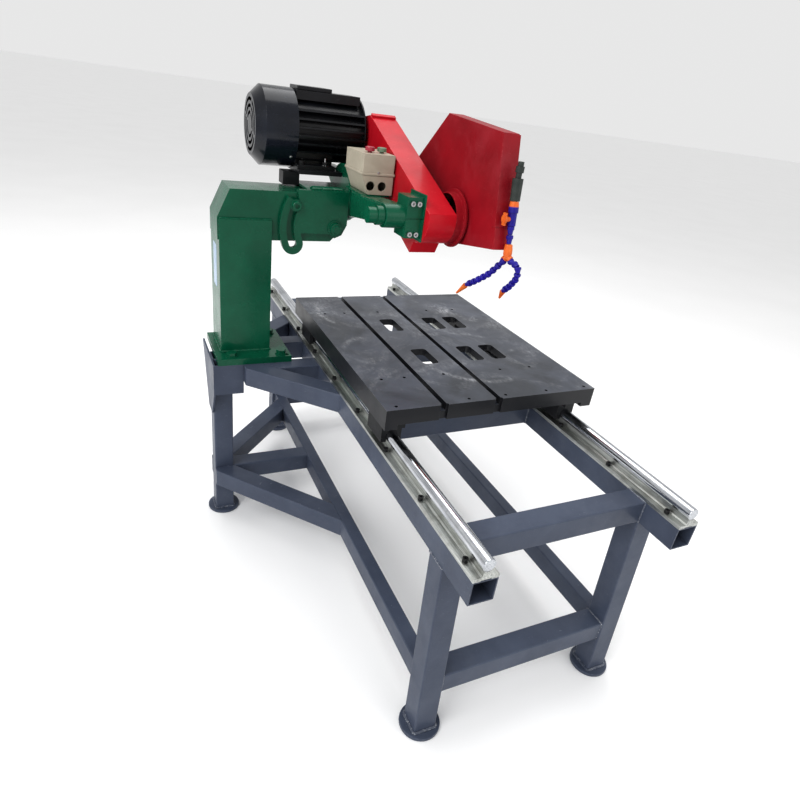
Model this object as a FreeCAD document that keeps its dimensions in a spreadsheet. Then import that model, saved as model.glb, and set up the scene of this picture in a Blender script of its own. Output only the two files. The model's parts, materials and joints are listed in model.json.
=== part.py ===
import FreeCAD, Part
import math
import os
import re

import Sketcher
from FreeCAD import Placement, Rotation, Vector

# Stone and tile saw with a sliding table. X runs across the rails, Y along them with the
# operator at -Y, and Z up. The origin is on the floor under the middle of the whole machine.

doc = FreeCAD.newDocument("TileSaw")
sheet = doc.addObject("Spreadsheet::Sheet", "dims")

dimensions = [
    # frame and rails
    ("midX", 156, "middle plane between the rails, which is also the blade's plane"),
    ("gauge", 550, "distance between the rail centres"),
    ("railLen", 1700, "length of the rails"),
    ("tube", 60, "side of the square frame tube"),
    ("wall", 3, "wall of the frame tube"),
    ("tubeTop", 591, "height of the top of the rail tubes"),
    ("legTopY", 717, "leg centre at its top, from the middle of the rails"),
    ("legFootY", 742, "leg centre at the floor, from the middle of the rails"),
    ("padR", 52, "radius of a foot pad"),
    ("padH", 10, "thickness of a foot pad"),
    ("lowTop", 185, "height of the top of the lower beams"),
    ("lowY", 730, "centre of the lower cross beams"),
    ("topY", 718, "centre of the end cross beams"),
    ("innerY", 233, "centre of the inner cross beams"),
    ("stretchW", 40, "width of the lower stretchers"),
    # rails
    ("railW", 60, "width of the aluminium rail base"),
    ("railFlange", 9, "thickness of the rail base's flange"),
    ("shaftUp", 37, "height of the shaft's centre over the tube"),
    ("shaftR", 15, "radius of the rail shaft"),
    ("boltPitch", 200, "pitch of the rail bolts"),
    ("boltOut", 20, "rail bolts from the middle of the rail"),
    # outrigger and column
    ("outX", -431, "outrigger leg centre across"),
    ("outY", 244, "outrigger leg centre along the rails"),
    ("colX", -359, "column centre across"),
    ("colY", 294, "column, arm and swing axis centre along the rails"),
    ("colW", 150, "side of the square column"),
    ("colWall", 8, "wall of the column"),
    ("colTop", 1015, "height of the top of the column"),
    ("plateH", 20, "thickness of the column's base plate"),
    ("armLow", 956, "height of the underside of the arm"),
    ("armW", 130, "depth of the arm along the rails"),
    ("armH", 140, "height of the arm"),
    ("armEndX", -70, "right end of the arm"),
    # tilting bracket
    ("tiltX", -96, "bevel pivot bolt across"),
    ("tiltZ", 1000, "height of the bevel pivot bolt"),
    ("pivotR", 12, "radius of the bevel pivot bolt"),
    ("slotR", 137, "radius of the bevel slot's centre line"),
    ("slotHalf", 11, "half the width of the bevel slot"),
    ("clampAngle", 153, "angle of the clamp bolt about the pivot"),
    ("slotSweep", 48, "angle that the bevel slot spans"),
    ("cheek", 16, "thickness of the bracket's plates"),
    ("cheekGap", 2, "gap between the bracket's cheeks and the arm"),
    # swinging head
    ("swingZ", 1092, "height of the swing axis"),
    ("discR", 84, "radius of the trunnion discs"),
    ("discX", -59, "left face of the fixed trunnion disc"),
    ("discT", 14, "thickness of a trunnion disc"),
    ("pinR", 20, "radius of the trunnion pin"),
    ("spinY", -93, "spindle axis along the rails"),
    ("spinZ", 1107, "height of the spindle axis"),
    ("motorY", 395, "motor axis along the rails"),
    ("motorZ", 1250, "height of the motor axis"),
    ("motorR", 108.5, "radius of the motor over its fins"),
    ("frameX", -196, "left end of the motor's finned frame"),
    ("pulleyR", 38, "radius of both pulleys"),
    ("coverX", 20, "left wall of the belt cover"),
    ("coverW", 80, "width of the belt cover"),
    ("sheetT", 3, "thickness of the sheet metal covers"),
    ("guardW", 44, "width of the blade guard"),
    ("shroudR", 66, "radius of the round nose of the belt cover"),
    ("arborR", 12.7, "radius of the blade's arbor"),
    # table
    ("tableW", 634, "width of the table"),
    ("tableLen", 793, "length of the table"),
    ("tableY", -25.5, "centre of the table at rest"),
    ("tableTop", 728, "height of the table"),
    ("tablePlate", 20, "thickness of the table's plate"),
    ("sideW", 34, "width of the table's side bars"),
    ("blockTop", 661, "height of the top of the bearing blocks"),
    ("blockW", 56, "width of a bearing block"),
    ("blockLen", 90, "length of a bearing block"),
    ("slotW", 14, "width of a table slot"),
    ("slotPitch", 160, "distance between the table's two slots"),
    ("fit", 0.05, "running clearance of a shaft in its bore"),
]
for row, (alias, value, note) in enumerate(dimensions, 1):
    sheet.set("A%d" % row, note)
    sheet.set("B%d" % row, str(value))
    sheet.setAlias("B%d" % row, alias)
doc.recompute()
values = {alias: value for alias, value, note in dimensions}
nodes = []


# Helpers: a size is a formula in the sheet's aliases, or a plain number.

def formula(text):
    """The formula with each alias pointed at the sheet."""
    def point(match):
        word = match.group(0)
        return "dims." + word if word in values else word
    return re.sub(r"[A-Za-z]\w*", point, str(text))


def bind(obj, prop, text):
    obj.setExpression(prop, formula(text))


def place(obj, corner):
    for axis, text in zip("xyz", corner):
        bind(obj, "Placement.Base." + axis, text)
    return obj


def block(size, corner):
    """A box with its lowest corner at corner."""
    obj = doc.addObject("Part::Box", "Block")
    for prop, text in zip(("Length", "Width", "Height"), size):
        bind(obj, prop, text)
    return place(obj, corner)


turns = {
    "x": Rotation(Vector(0, 1, 0), 90),
    "y": Rotation(Vector(1, 0, 0), -90),
    "z": Rotation(),
}


def rod(radius, length, start, axis="z"):
    """A cylinder that starts at start and runs along axis."""
    obj = doc.addObject("Part::Cylinder", "Rod")
    bind(obj, "Radius", radius)
    bind(obj, "Height", length)
    obj.Placement = Placement(Vector(), turns[axis])
    return place(obj, start)


def cone(radius1, radius2, length, start, axis="z"):
    obj = doc.addObject("Part::Cone", "Taper")
    bind(obj, "Radius1", radius1)
    bind(obj, "Radius2", radius2)
    bind(obj, "Height", length)
    obj.Placement = Placement(Vector(), turns[axis])
    return place(obj, start)


def plate(plane, outline, thickness, low):
    """A straight-sided plate: its outline is drawn on a plane, XY, XZ or YZ, and low is its
    lowest place along the plane's normal."""
    body = doc.addObject("PartDesign::Body", "Plate")
    sketch = body.newObject("Sketcher::SketchObject", "Outline")
    origin = [o for o in body.Origin.OriginFeatures if o.Role == plane + "_Plane"][0]
    sketch.AttachmentSupport = [(origin, "")]
    sketch.MapMode = "FlatFace"
    count = len(outline)
    guess = [Vector(float(evaluate(u)), float(evaluate(v)), 0) for u, v in outline]
    for i in range(count):
        sketch.addGeometry(Part.LineSegment(guess[i], guess[(i + 1) % count]), False)
    for i in range(count):
        sketch.addConstraint(Sketcher.Constraint("Coincident", i, 2, (i + 1) % count, 1))
    for i, (u, v) in enumerate(outline):
        for kind, text, value in (("DistanceX", u, guess[i].x), ("DistanceY", v, guess[i].y)):
            index = sketch.addConstraint(Sketcher.Constraint(kind, -1, 1, i, 1, value))
            sketch.setExpression("Constraints[%d]" % index, formula(text))
    pad = body.newObject("PartDesign::Pad", "Pad")
    pad.Profile = sketch
    bind(pad, "Length", thickness)
    if plane == "XZ":  # this plane's normal points to -Y
        bind(body, "Placement.Base.y", "%s + %s" % (low, thickness))
    else:
        bind(body, "Placement.Base." + ("z" if plane == "XY" else "x"), low)
    return body


def evaluate(text):
    """The value of a formula, as a first guess for a sketch."""
    doc.recompute([sheet])
    return sheet.evalExpression(formula(text)) if isinstance(text, str) else text


def fuse(*shapes):
    obj = doc.addObject("Part::MultiFuse", "Join")
    obj.Shapes = list(shapes)
    return obj


def cut(base, *tools):
    obj = doc.addObject("Part::Cut", "Cut")
    obj.Base = base
    obj.Tool = tools[0] if len(tools) == 1 else fuse(*tools)
    return obj


def common(first, second):
    obj = doc.addObject("Part::Common", "Common")
    obj.Base = first
    obj.Tool = second
    return obj


def group(shapes):
    obj = doc.addObject("Part::Compound", "Group")
    obj.Links = list(shapes)
    return obj


def fillet(base, edges, radius):
    """Rounds the edges whose numbers are given."""
    obj = doc.addObject("Part::Fillet", "Round")
    obj.Base = base
    obj.Edges = [(edge, radius, radius) for edge in edges]
    return obj


def node(obj, label):
    """Names a finished sub-part, which names its file."""
    obj.Label = label
    nodes.append(obj)
    return obj


def tube(size, corner, along, side="wall"):
    """A square or oblong tube, open at both ends along one axis."""
    inner_size, inner_corner = [], []
    for axis, length, start in zip("xyz", size, corner):
        if axis == along:
            inner_size.append("%s + 2" % length)
            inner_corner.append("%s - 1" % start)
        else:
            inner_size.append("%s - 2 * %s" % (length, side))
            inner_corner.append("%s + %s" % (start, side))
    return cut(block(size, corner), block(inner_size, inner_corner))


def boltDown(x, y, z, headR=6.5, headH=8, shankR=4, shank=12):
    """A socket-head bolt that stands on z and reaches down."""
    head = rod(headR, headH, (x, y, z))
    socket = rod(headR * 0.5, headH * 0.6, (x, y, "%s + %s" % (z, headH * 0.5)))
    return cut(fuse(head, rod(shankR, "%s + 1" % shank, (x, y, "%s - %s" % (z, shank)))), socket)


leftX = "midX - gauge / 2"
rightX = "midX + gauge / 2"
tubeLow = "tubeTop - tube"
sides = (("left", leftX), ("right", rightX))
ends = (("front", -1), ("back", 1))


# Rail tubes, with the holes of the rail bolts, and the rails on them.

def makeRails():
    bolts, tubes, supports, shafts = [], [], [], []
    for side, x in sides:
        low = "-railLen / 2"
        hollow = tube(("tube", "railLen", "tube"), (x + " - tube / 2", low, tubeLow), "y")
        holes = []
        for row in range(9):
            y = "%s + 50 + %d * boltPitch" % (low, row)
            for out in (-1, 1):
                bx = "%s + %d * boltOut" % (x, out)
                holes.append(rod(4.2, 40, (bx, y, "tubeTop - 20")))
                bolts.append(boltDown(bx, y, "(tubeTop + railFlange)", shank=18))
        drills = group(holes)
        tubes.append(cut(hollow, drills))
        base = "tubeTop"
        neck = "tubeTop + railFlange"
        seat = "tubeTop + 24.5"
        half = "railW / 2"
        profile = [
            (x + " - " + half, base), (x + " - 14", base), (x + " - 11", base + " + 2"),
            (x + " + 11", base + " + 2"), (x + " + 14", base), (x + " + " + half, base),
            (x + " + " + half, neck), (x + " + 13", neck), (x + " + 10", neck + " + 3"),
            (x + " + 8", seat), (x + " - 8", seat), (x + " - 10", neck + " + 3"),
            (x + " - 13", neck), (x + " - " + half, neck),
        ]
        shaft = rod("shaftR", "railLen", (x, low, "tubeTop + shaftUp"), "y")
        support = plate("XZ", profile, "railLen", low)
        supports.append(cut(support, fuse(shaft, drills)))
        shafts.append(rod("shaftR", "railLen", (x, low, "tubeTop + shaftUp"), "y"))
    node(group(tubes), "rail_tubes")
    node(group(supports), "rail_supports")
    node(group(shafts), "rail_shafts")
    node(group(bolts), "rail_bolts")


# Legs lean out towards their feet, and stand on round pads.

def leaningLeg(x, end):
    top, low = tubeLow, "padH"
    def side(offset, inset):
        reach = "tube / 2 - %s" % inset
        topY = "%d * legTopY + %d * (%s)" % (end, offset, reach)
        footY = "%d * legFootY + %d * (%s)" % (end, offset, reach)
        return topY, footY
    shapes = []
    for inset in (0, "wall"):
        a, b = side(-1, inset), side(1, inset)
        outline = [(a[1], low), (b[1], low), (b[0], top), (a[0], top)]
        width = "tube - 2 * %s" % inset
        shapes.append(plate("YZ", outline, width, "%s - tube / 2 + %s" % (x, inset)))
    return cut(*shapes)


def makeLegs():
    spots = [(x, way) for side, x in sides for end, way in ends]
    node(group([leaningLeg(x, way) for x, way in spots]), "corner_legs")
    pads = [rod("padR", "padH", (x, "%d * legFootY" % way, 0)) for x, way in spots]
    leg = tube(("tube", "tube", "tubeTop - padH"), ("outX - tube / 2", "outY - tube / 2", "padH"), "z")
    node(leg, "outrigger_leg")
    pads.append(rod("padR", "padH", ("outX", "outY", 0)))
    node(group(pads), "foot_pads")


# Beams between the legs and between the rail tubes.

def crossBeam(y, z):
    return tube(("gauge - tube", "tube", "tube"), (leftX + " + tube / 2", y + " - tube / 2", z), "x")


def makeBeams():
    tops = [crossBeam("%d * %s" % (way, y), tubeLow) for end, way in ends for y in ("topY", "innerY")]
    node(group(tops), "top_cross_beams")
    node(group([crossBeam("%d * lowY" % way, "lowTop - tube") for end, way in ends]), "lower_cross_beams")
    stretchers = []
    lean = "(legFootY - (legFootY - legTopY) * (%s - padH) / (tubeTop - tube - padH) - tube / 2)"
    topGap, lowGap = lean % "lowTop", lean % "(lowTop - tube)"
    for side, x in sides:
        shapes = []
        for inset in (0, "wall"):
            outline = [
                ("-" + lowGap, "lowTop - tube + %s" % inset), (lowGap, "lowTop - tube + %s" % inset),
                (topGap, "lowTop - %s" % inset), ("-" + topGap, "lowTop - %s" % inset),
            ]
            width = "stretchW - 2 * %s" % inset
            shapes.append(plate("YZ", outline, width, "%s - stretchW / 2 + %s" % (x, inset)))
        stretchers.append(cut(*shapes))
    node(group(stretchers), "lower_stretchers")


# The outrigger ties its leg to the left rail at two heights. Its diagonals run from the leg to
# the rail, and all their right ends are cut in line with the rail.

def diagonalBeam(top, spread, miss, way, right, seat, deep):
    """A tube that reaches 250 across and spread along the rails, passing the leg's centre at
    a distance of miss along the rails. Seat is the left end of what lies in front of the leg,
    and deep is how far the tube may stand out beside the leg. Its left end is closed."""
    length = math.hypot(250, spread)
    turn = Rotation(Vector(0, 0, 1), way * math.degrees(math.atan2(spread, 250)))
    shapes = []
    for inset in (0, values["wall"]):
        side = "tube - %d" % (2 * inset)
        beam = block(("%g" % (length + 200), side, side), (0, 0, 0))
        shift = turn.multVec(Vector(-100, inset - values["tube"] / 2, 0))
        beam.Placement = Placement(shift, turn)
        start = "outY + %g" % (way * miss + shift.y)
        shapes.append(place(beam, ("outX + %g" % shift.x, start, "%s - tube + %d" % (top, inset))))
    low = "outY - 500" if way < 0 else "outY"
    bottom = "%s - tube" % top
    zones = []
    for inset in (0, values["wall"]):
        bay = block(("%s - (%s)" % (right, seat), 500, "tube"), ("%s + %d" % (seat, inset), low, bottom))
        near = "outY - %g" % (deep - inset) if way < 0 else "outY"
        corner = block((90, deep - inset, "tube"), ("outX - tube / 2 + %d" % inset, near, bottom))
        zones.append(fuse(bay, corner))
    leg = block(("tube", "tube", "tube + 2"), ("outX - tube / 2", "outY - tube / 2", "%s - 1" % bottom))
    hollow = common(shapes[1], zones[1])
    return common(cut(shapes[0], hollow), cut(zones[0], leg))


def makeOutrigger():
    railFace = leftX + " - tube / 2"
    seat = "outX + tube / 2 + 25.5"
    face = leftX + " - stretchW / 2"
    tops = [diagonalBeam("tubeTop", 241, 15, way, railFace, seat, 75.5 if way < 0 else 140)
            for end, way in ends]
    lows = [diagonalBeam("lowTop", 279.5, 37, way, face, "outX + tube / 2", 140) for end, way in ends]
    node(group(tops), "outrigger_top_diagonals")
    node(group(lows), "outrigger_low_diagonals")
    # straight beams under the base plate end at the inner sides of the diagonals
    slope = 241 / 250
    back = values["tube"] / 2 / math.cos(math.atan(slope)) - 15
    straights = []
    for way in (-1, 1):
        shapes = []
        for inset in (0, 3):
            outline = []
            for out in (123 - inset, 63 + inset):
                y = "outY + %d" % (way * out)
                tip = ("outX + %g" % ((out + back) / slope), y)
                outline += [tip, (railFace, y)] if not outline else [(railFace, y), tip]
            high = "tube - %d" % (2 * inset)
            shapes.append(plate("XY", outline, high, "tubeTop - tube + %d" % inset))
        straights.append(cut(*shapes))
    shapes = []
    for inset in (0, 3):
        side = 30 - inset
        shy = "outX + 35"
        outline = [("outX + tube / 2", "outY - %d" % (side - 5)), (shy, "outY - %d" % side),
                   (face, "outY - %d" % side), (face, "outY + %d" % side),
                   (shy, "outY + %d" % side), ("outX + tube / 2", "outY + %d" % (side - 5))]
        shapes.append(plate("XY", outline, "tube - %d" % (2 * inset), "lowTop - tube + %d" % inset))
    node(group(straights + [cut(*shapes)]), "outrigger_straights")


# Sliding table: a cast plate with skirts, two slots, six windows and a few plain holes, on two
# bars and four bearing blocks that wrap the rail shafts.

def makeTable():
    low = "tableY - tableLen / 2"
    left = "midX - tableW / 2"
    flat = "tableTop - tablePlate"
    top = block(("tableW", "tableLen", "tablePlate"), (left, low, flat))
    skirts = [block(("sideW", "tableLen", 54), (left, low, "tableTop - 54")),
              block(("sideW", "tableLen", 54), ("midX + tableW / 2 - sideW", low, "tableTop - 54"))]
    for y in (low, "tableY + tableLen / 2 - 18"):
        skirts.append(block(("tableW", 18, 42), (left, y, "tableTop - 42")))
    straps = []
    for x in ("midX - slotPitch", "midX"):
        for start, length in ((44, 49), (228, 165), (443, 70), (614, 161)):
            straps.append(block((60, length, 12), (x + " - 30", "%s + %d" % (low, start), flat + " - 12")))
    slots = [block(("slotW", "tableLen + 2", "tablePlate + 1"), (x + " - slotW / 2", low + " - 1", flat))
             for x in ("midX - slotPitch", "midX")]
    notches = [block(("slotW + 8", 12, 60), (x + " - slotW / 2 - 4", low + " - 6", "tableTop - 55"))
               for x in ("midX - slotPitch", "midX")]
    windows = []
    for x in (-81, 72, 150):
        for y in (120.5, -119.5):
            pane = block((50, 100, 60), ("midX + %d" % (x - 25), "tableY + %g" % (y - 50), flat + " - 20"))
            windows.append(fillet(pane, (1, 3, 5, 7), 12))
    spots = [(x, y) for y in (237.5, -237.5) for x in (-265, -199, -81, 103, 206)]
    spots += [(x, -379.5) for x in (-285, -82, 30, 161, 292)]
    holes = [rod(4.5, 60, ("midX + %d" % x, "tableY + %g" % y, "tableTop - 56")) for x, y in spots]
    bars, blocks, screws = [], [], []
    for side, x in sides:
        barX = "%s + %d" % (x, 10 if side == "left" else -10)
        corner = (barX + " - 15", low + " + 22", "blockTop")
        bars.append(block((30, "tableLen - 44", flat + " - blockTop"), corner))
        for y in (low + " + 42", "tableY + tableLen / 2 - 42 - blockLen"):
            corner = (x + " - blockW / 2", y, "tubeTop + 21")
            body = block(("blockW", "blockLen", "blockTop - tubeTop - 21"), corner)
            bore = rod("shaftR + fit", "blockLen + 2", (x, y + " - 1", "tubeTop + shaftUp"), "y")
            mouth = block((24, "blockLen + 2", "shaftUp - 12"), (x + " - 12", y + " - 1", "tubeTop + 12"))
            blocks.append(cut(body, bore, mouth))
        for y in (-170, 0, 170):
            at = (barX, "tableY + %d" % y, "blockTop - 6")
            screws.append(fuse(rod(8, 6, at), rod(4, 60, at)))
    threads = group(screws)
    node(cut(fuse(top, *(skirts + straps)), threads, *(slots + notches + windows + holes)), "table_top")
    node(cut(group(bars), threads), "table_bars")
    node(group(blocks), "bearing_blocks")
    node(threads, "table_screws")


# Column with its base plate, gussets and arm.

def makeColumn():
    plateX, plateY, low = "colX - 94", "outY - 83", "tubeTop + plateH"
    base = block((226, 220, "plateH"), (plateX, plateY, "tubeTop"))
    spots = [(plateX + " + 45", plateY + " + 25"), (plateX + " + 197", plateY + " + 25"),
             (plateX + " + 197", plateY + " + 194")]
    drills = [rod(8, 60, (x, y, "tubeTop - 30")) for x, y in spots]
    corner = rod(6, 40, (plateX + " + 214", plateY + " + 13", "tubeTop - 10"))
    node(cut(base, corner, *drills), "column_base_plate")
    bolts = []
    for x, y in spots:
        hexHead = doc.addObject("Part::Prism", "HexHead")
        hexHead.Polygon = 6
        hexHead.Circumradius = 15
        hexHead.Height = 10
        place(hexHead, (x, y, low + " + 3"))
        bolts.append(fuse(hexHead, rod(18, 3, (x, y, low)), rod(8, 21, (x, y, "tubeTop"))))
    node(group(bolts), "column_bolts")
    apron = block(("tube + 25", 6, 100), ("outX - tube / 2", "outY - 82", "tubeTop - 100"))
    web = [("outY - 82", "tubeTop"), ("outY - 82", "tubeTop - 100"), ("outY - tube / 2", "tubeTop - 190"),
           ("outY + tube / 2", "tubeTop - 190"), ("outY + 137", "tubeTop")]
    node(fuse(apron, plate("YZ", web, 6, "outX - tube / 2 - 6")), "seat_gussets")
    corner = ("colX - colW / 2", "colY - colW / 2", low)
    shaft = tube(("colW", "colW", "colTop - (%s)" % low), corner, "z", "colWall")
    node(cut(shaft, armBar(0)), "column")
    node(cut(armBar(0), armBar("colWall"), armDrills()), "arm")


def armBar(inset):
    """The arm is an oblong tube along X with slanted ends, let into the column's top."""
    left = "colX - colW / 2 - 3"
    low = "armLow + %s" % inset
    top = "armLow + armH - %s" % inset
    outline = [(left + " + %s" % inset, low), ("armEndX - 34 - %s" % inset, low),
               ("armEndX - %s" % inset, low + " + 34"), ("armEndX - %s" % inset, top),
               (left + " + 36 + %s" % inset, top), (left + " + %s" % inset, low + " + 62")]
    return plate("XZ", outline, "armW - 2 * %s" % inset, "colY - armW / 2 + %s" % inset)


def clampSpot(angle="clampAngle"):
    return "tiltX + slotR * cos(%s * 1 deg)" % angle, "tiltZ + slotR * sin(%s * 1 deg)" % angle


def armDrills():
    x, z = clampSpot()
    pivot = rod("pivotR + 0.01", 400, ("tiltX", "colY - 200", "tiltZ"), "y")
    return fuse(pivot, rod(10.01, 40, (x, "colY - armW / 2 - 10", z), "y"))


# The bracket tilts on the pivot bolt. Its sector slides under the clamp bolt.

frontLow = "colY - armW / 2 - cheekGap - cheek"
backLow = "colY + armW / 2 + cheekGap"


def ray(degrees, radius):
    """A point of the tilting bracket by its angle and distance from the pivot."""
    turned = (radius, degrees)
    return "tiltX + %g * cos(%s * 1 deg)" % turned, "tiltZ + %g * sin(%s * 1 deg)" % turned


def ringPart(outer, inner, first, last, thick, low):
    """Part of a flat ring about the pivot, from one angle to another."""
    ring = cut(rod(outer, thick, ("tiltX", low, "tiltZ"), "y"),
               rod(inner, thick + " + 2", ("tiltX", low + " - 1", "tiltZ"), "y"))
    middle = "((%s + %s) / 2)" % (first, last)
    wedge = [("tiltX", "tiltZ"), ray(first, 260), ray(middle, 260), ray(last, 260)]
    return common(ring, plate("XZ", wedge, thick, low))


def makeBracket():
    last = "(clampAngle + slotSweep)"
    moon = ringPart("slotR + 31", "slotR - 31", "(clampAngle - 4)", last, "cheek", frontLow)
    x, z = clampSpot(last)
    moonEnd = rod(31, "cheek", (x, frontLow, z), "y")
    outer, inner = "slotR + slotHalf", "slotR - slotHalf"
    slot = [ringPart(outer, inner, "clampAngle", last, "cheek + 4", frontLow + " - 2")]
    for angle in ("clampAngle", last):
        x, z = clampSpot(angle)
        slot.append(rod("slotHalf", "cheek + 4", (x, frontLow + " - 2", z), "y"))
    roofLow = "armLow + armH + 4"
    roofTop = roofLow + " + 6"
    face = [("tiltX - 118", roofTop), ("tiltX - 106", "tiltZ + 40"), ("tiltX - 106", "tiltZ - 17"),
            ("tiltX - 22", "tiltZ - 17"), ("tiltX", "tiltZ - 30"), ("tiltX + 22", "tiltZ - 20"),
            ("discX", "tiltZ + 10"), ("discX", roofTop)]
    rear = [("tiltX - 70", "tiltZ - 24"), ("tiltX", "tiltZ - 30"), ("tiltX + 22", "tiltZ - 20"),
            ("discX", "tiltZ + 10"), ("discX", roofTop), ("tiltX - 84", roofTop)]
    deep = "armW + 2 * cheekGap + 2 * cheek"
    roof = block(("discX - tiltX + 84", deep, 6), ("tiltX - 84", frontLow, roofLow))
    wall = block((8, deep, "armH - 44"), ("discX - 8", frontLow, "tiltZ + 10"))
    cheeks = fuse(plate("XZ", face, "cheek", frontLow), plate("XZ", rear, "cheek", backLow))
    shape = fuse(moon, moonEnd, cheeks, roof, wall)
    bore = rod("pivotR + fit", 400, ("tiltX", "colY - 200", "tiltZ"), "y")
    node(cut(shape, bore, *slot), "tilt_bracket")
    stop = block((50, 50, 37.7), ("tiltX - 134", "colY + 28", roofLow))
    node(stop, "head_stop")
    disc = rod("discR", "discT", ("discX", "colY", "swingZ"), "x")
    pin = rod("pinR", 64, ("discX", "colY", "swingZ"), "x")
    cap = rod("pinR + 8", 6, ("discX + 63", "colY", "swingZ"), "x")
    node(fuse(disc, pin, cap), "trunnion")
    x, z = clampSpot()
    node(fuse(rod(17, 3, (x, frontLow + " - 3.5", z), "y"), rod(13, 12, (x, frontLow + " - 15.5", z), "y"),
              rod(10, 40, (x, frontLow + " - 3.5", z), "y")), "bevel_clamp_bolt")
    far = backLow + " + cheek + 0.5"
    lengths = ((24, 4, frontLow + " - 4.5"), (18, 13, frontLow + " - 17.5"), (24, 4, far), (18, 17, far),
               ("pivotR", "armW + 2 * cheek + 40", frontLow + " - 23"))
    node(fuse(*[rod(r, length, ("tiltX", y, "tiltZ"), "y") for r, length, y in lengths]), "bevel_pivot_bolt")


# The head swings on the trunnion: a cast arm, with the motor behind and the spindle in front.

hubX = "discX + discT + 0.5"


def makeSwingArm():
    hub = rod("discR", "discT", (hubX, "colY", "swingZ"), "x")
    boss = rod("pinR + 18", 47, (hubX, "colY", "swingZ"), "x")
    side = [("spinY + 20", "spinZ - 24"), ("colY - 100", "swingZ - 48"), ("colY - 10", "swingZ - 78"),
            ("colY + 60", "swingZ - 50"), ("colY + 186", "motorZ - 124"), ("colY + 186", "motorZ - 100"),
            ("colY + 36", "motorZ - 100"), ("colY - 10", "swingZ + 80"), ("colY - 88", "spinZ + 17"),
            ("spinY + 163", "spinZ + 17"), ("spinY + 20", "spinZ + 28")]
    web = plate("YZ", side, "discT + 12", hubX)
    front = [("spinY + 16", "spinZ - 24"), ("colY - 152", "swingZ - 40"), ("colY - 150", "spinZ + 17"),
             ("spinY + 163", "spinZ + 17"), ("spinY + 16", "spinZ + 28")]
    cheeks = plate("YZ", front, 36, "discX - 20")
    shelf = block((86, 132, 5), ("discX - 18", "spinY + 165", "spinZ + 15"))
    bore = rod("pinR + fit", 200, ("discX - 20", "colY", "swingZ"), "x")
    saddle = rod(30, 400, ("coverX - 250", "spinY", "spinZ"), "x")
    jaw = block((60, 66, 104), ("coverX - 48", "spinY - 33", "spinZ - 50"))
    node(cut(fuse(hub, boss, web, cheeks, shelf), bore, saddle, jaw), "swing_arm")
    low = "motorZ - 112"
    rest = block((133, 200, 12), ("discX - 136", "colY - 14", low))
    tongue = block(("%s - (discX - 3)" % hubX, 105, 12), ("discX - 3", "colY + 81", low))
    drills = [rod(6, 60, (x, y, "motorZ - 130")) for x, y in motorBoltSpots()]
    node(cut(fuse(rest, tongue), *drills), "motor_plate")
    # split clamp block on the spindle housing, its flange, and its four socket screws
    block1 = block((44, 64, 102), ("coverX - 48", "spinY - 32", "spinZ - 49"))
    flange = block((4, 90, 118), ("coverX - 4", "spinY - 40", "spinZ - 57"))
    split = block((48, 40, 3), ("coverX - 49", "spinY - 40", "spinZ - 1.5"))
    screws = []
    for x, z in clampSpots():
        head = cut(rod(6.5, 8, (x, "spinY - 40", z), "y"), rod(3.2, 5, (x, "spinY - 40", z), "y"))
        screws.append(fuse(head, rod(4, 44, (x, "spinY - 33", z), "y")))
    threads = group(screws)
    node(cut(fuse(block1, flange), saddle, split, threads), "spindle_clamp")
    node(threads, "clamp_screws")


def clampSpots():
    return [("coverX - 48 + %d" % dx, "spinZ + %d" % dz) for dx in (12, 30) for dz in (-38, 38)]


def onSpindle(radius, first, last):
    """A round length of the spindle line, by where it starts and ends across the machine."""
    return rod(radius, "%s - (%s)" % (last, first), (first, "spinY", "spinZ"), "x")


def makeSpindle():
    """Housing, its two bearings, and the shaft with its cap, pulley, flanges and nut."""
    low, high = "coverX - 101", "coverX"
    node(cut(onSpindle(30, low, high), onSpindle(23.5, low + " + 4", high + " + 1"),
             onSpindle(13, low + " - 1", high)), "spindle_housing")
    bearings = []
    for start in (low + " + 5", high + " - 17"):
        bore = onSpindle("12.5 + fit", start + " - 1", start + " + 17")
        bearings.append(cut(onSpindle(23.5, start, start + " + 15"), bore))
    node(group(bearings), "spindle_bearings")
    cap = fuse(onSpindle(20, low + " - 41", low + " - 18"), onSpindle(24, low + " - 18", low + " - 1"))
    arbor = onSpindle("arborR", "midX - 14", "midX + 17")
    node(fuse(onSpindle(12.5, low + " - 41", "midX - 12"), cap, arbor), "spindle_shaft")
    inner = cut(onSpindle(42, "midX - 12", "midX - 1"), onSpindle(34, "midX - 3", "midX"),
                onSpindle("arborR", "midX - 13", "midX + 2"))
    outer = cut(onSpindle(42, "midX - 0.5", "midX + 6"), onSpindle(34, "midX - 1", "midX + 1.5"),
                onSpindle("arborR", "midX - 2", "midX + 9"))
    nut = doc.addObject("Part::Prism", "Nut")
    nut.Polygon = 6
    nut.Circumradius = 20
    bind(nut, "Height", 9)
    nut.Placement = Placement(Vector(), turns["x"])
    place(nut, ("midX + 6.2", "spinY", "spinZ"))
    node(group([inner, outer, cut(nut, onSpindle("arborR", "midX", "midX + 20"))]), "blade_flanges")
    node(pulley(12.5, "spinY", "spinZ"), "spindle_pulley")
    # round shroud between the belt cover and the guard, with a bolting ring
    first, last = "coverX + coverW", "midX - guardW / 2"
    ring = onSpindle("shroudR + 9", last + " - 14", last + " - 8")
    inside = onSpindle("shroudR - sheetT", first + " - 1", last + " + 1")
    node(cut(fuse(onSpindle("shroudR", first, last), ring), inside), "spindle_shroud")


beltLow = "coverX + 20"


def pulley(bore, y, z):
    """A two-groove pulley."""
    wheel = rod("pulleyR", 40, (beltLow, y, z), "x")
    rings = []
    for start in (4, 22):
        low = beltLow + " + %d" % start
        core = rod("pulleyR - 9", 16, (low + " - 1", y, z), "x")
        rings.append(cut(rod("pulleyR + 1", 14, (low, y, z), "x"), core))
    return cut(wheel, rod(bore, 60, (beltLow + " - 5", y, z), "x"), *rings)


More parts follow.
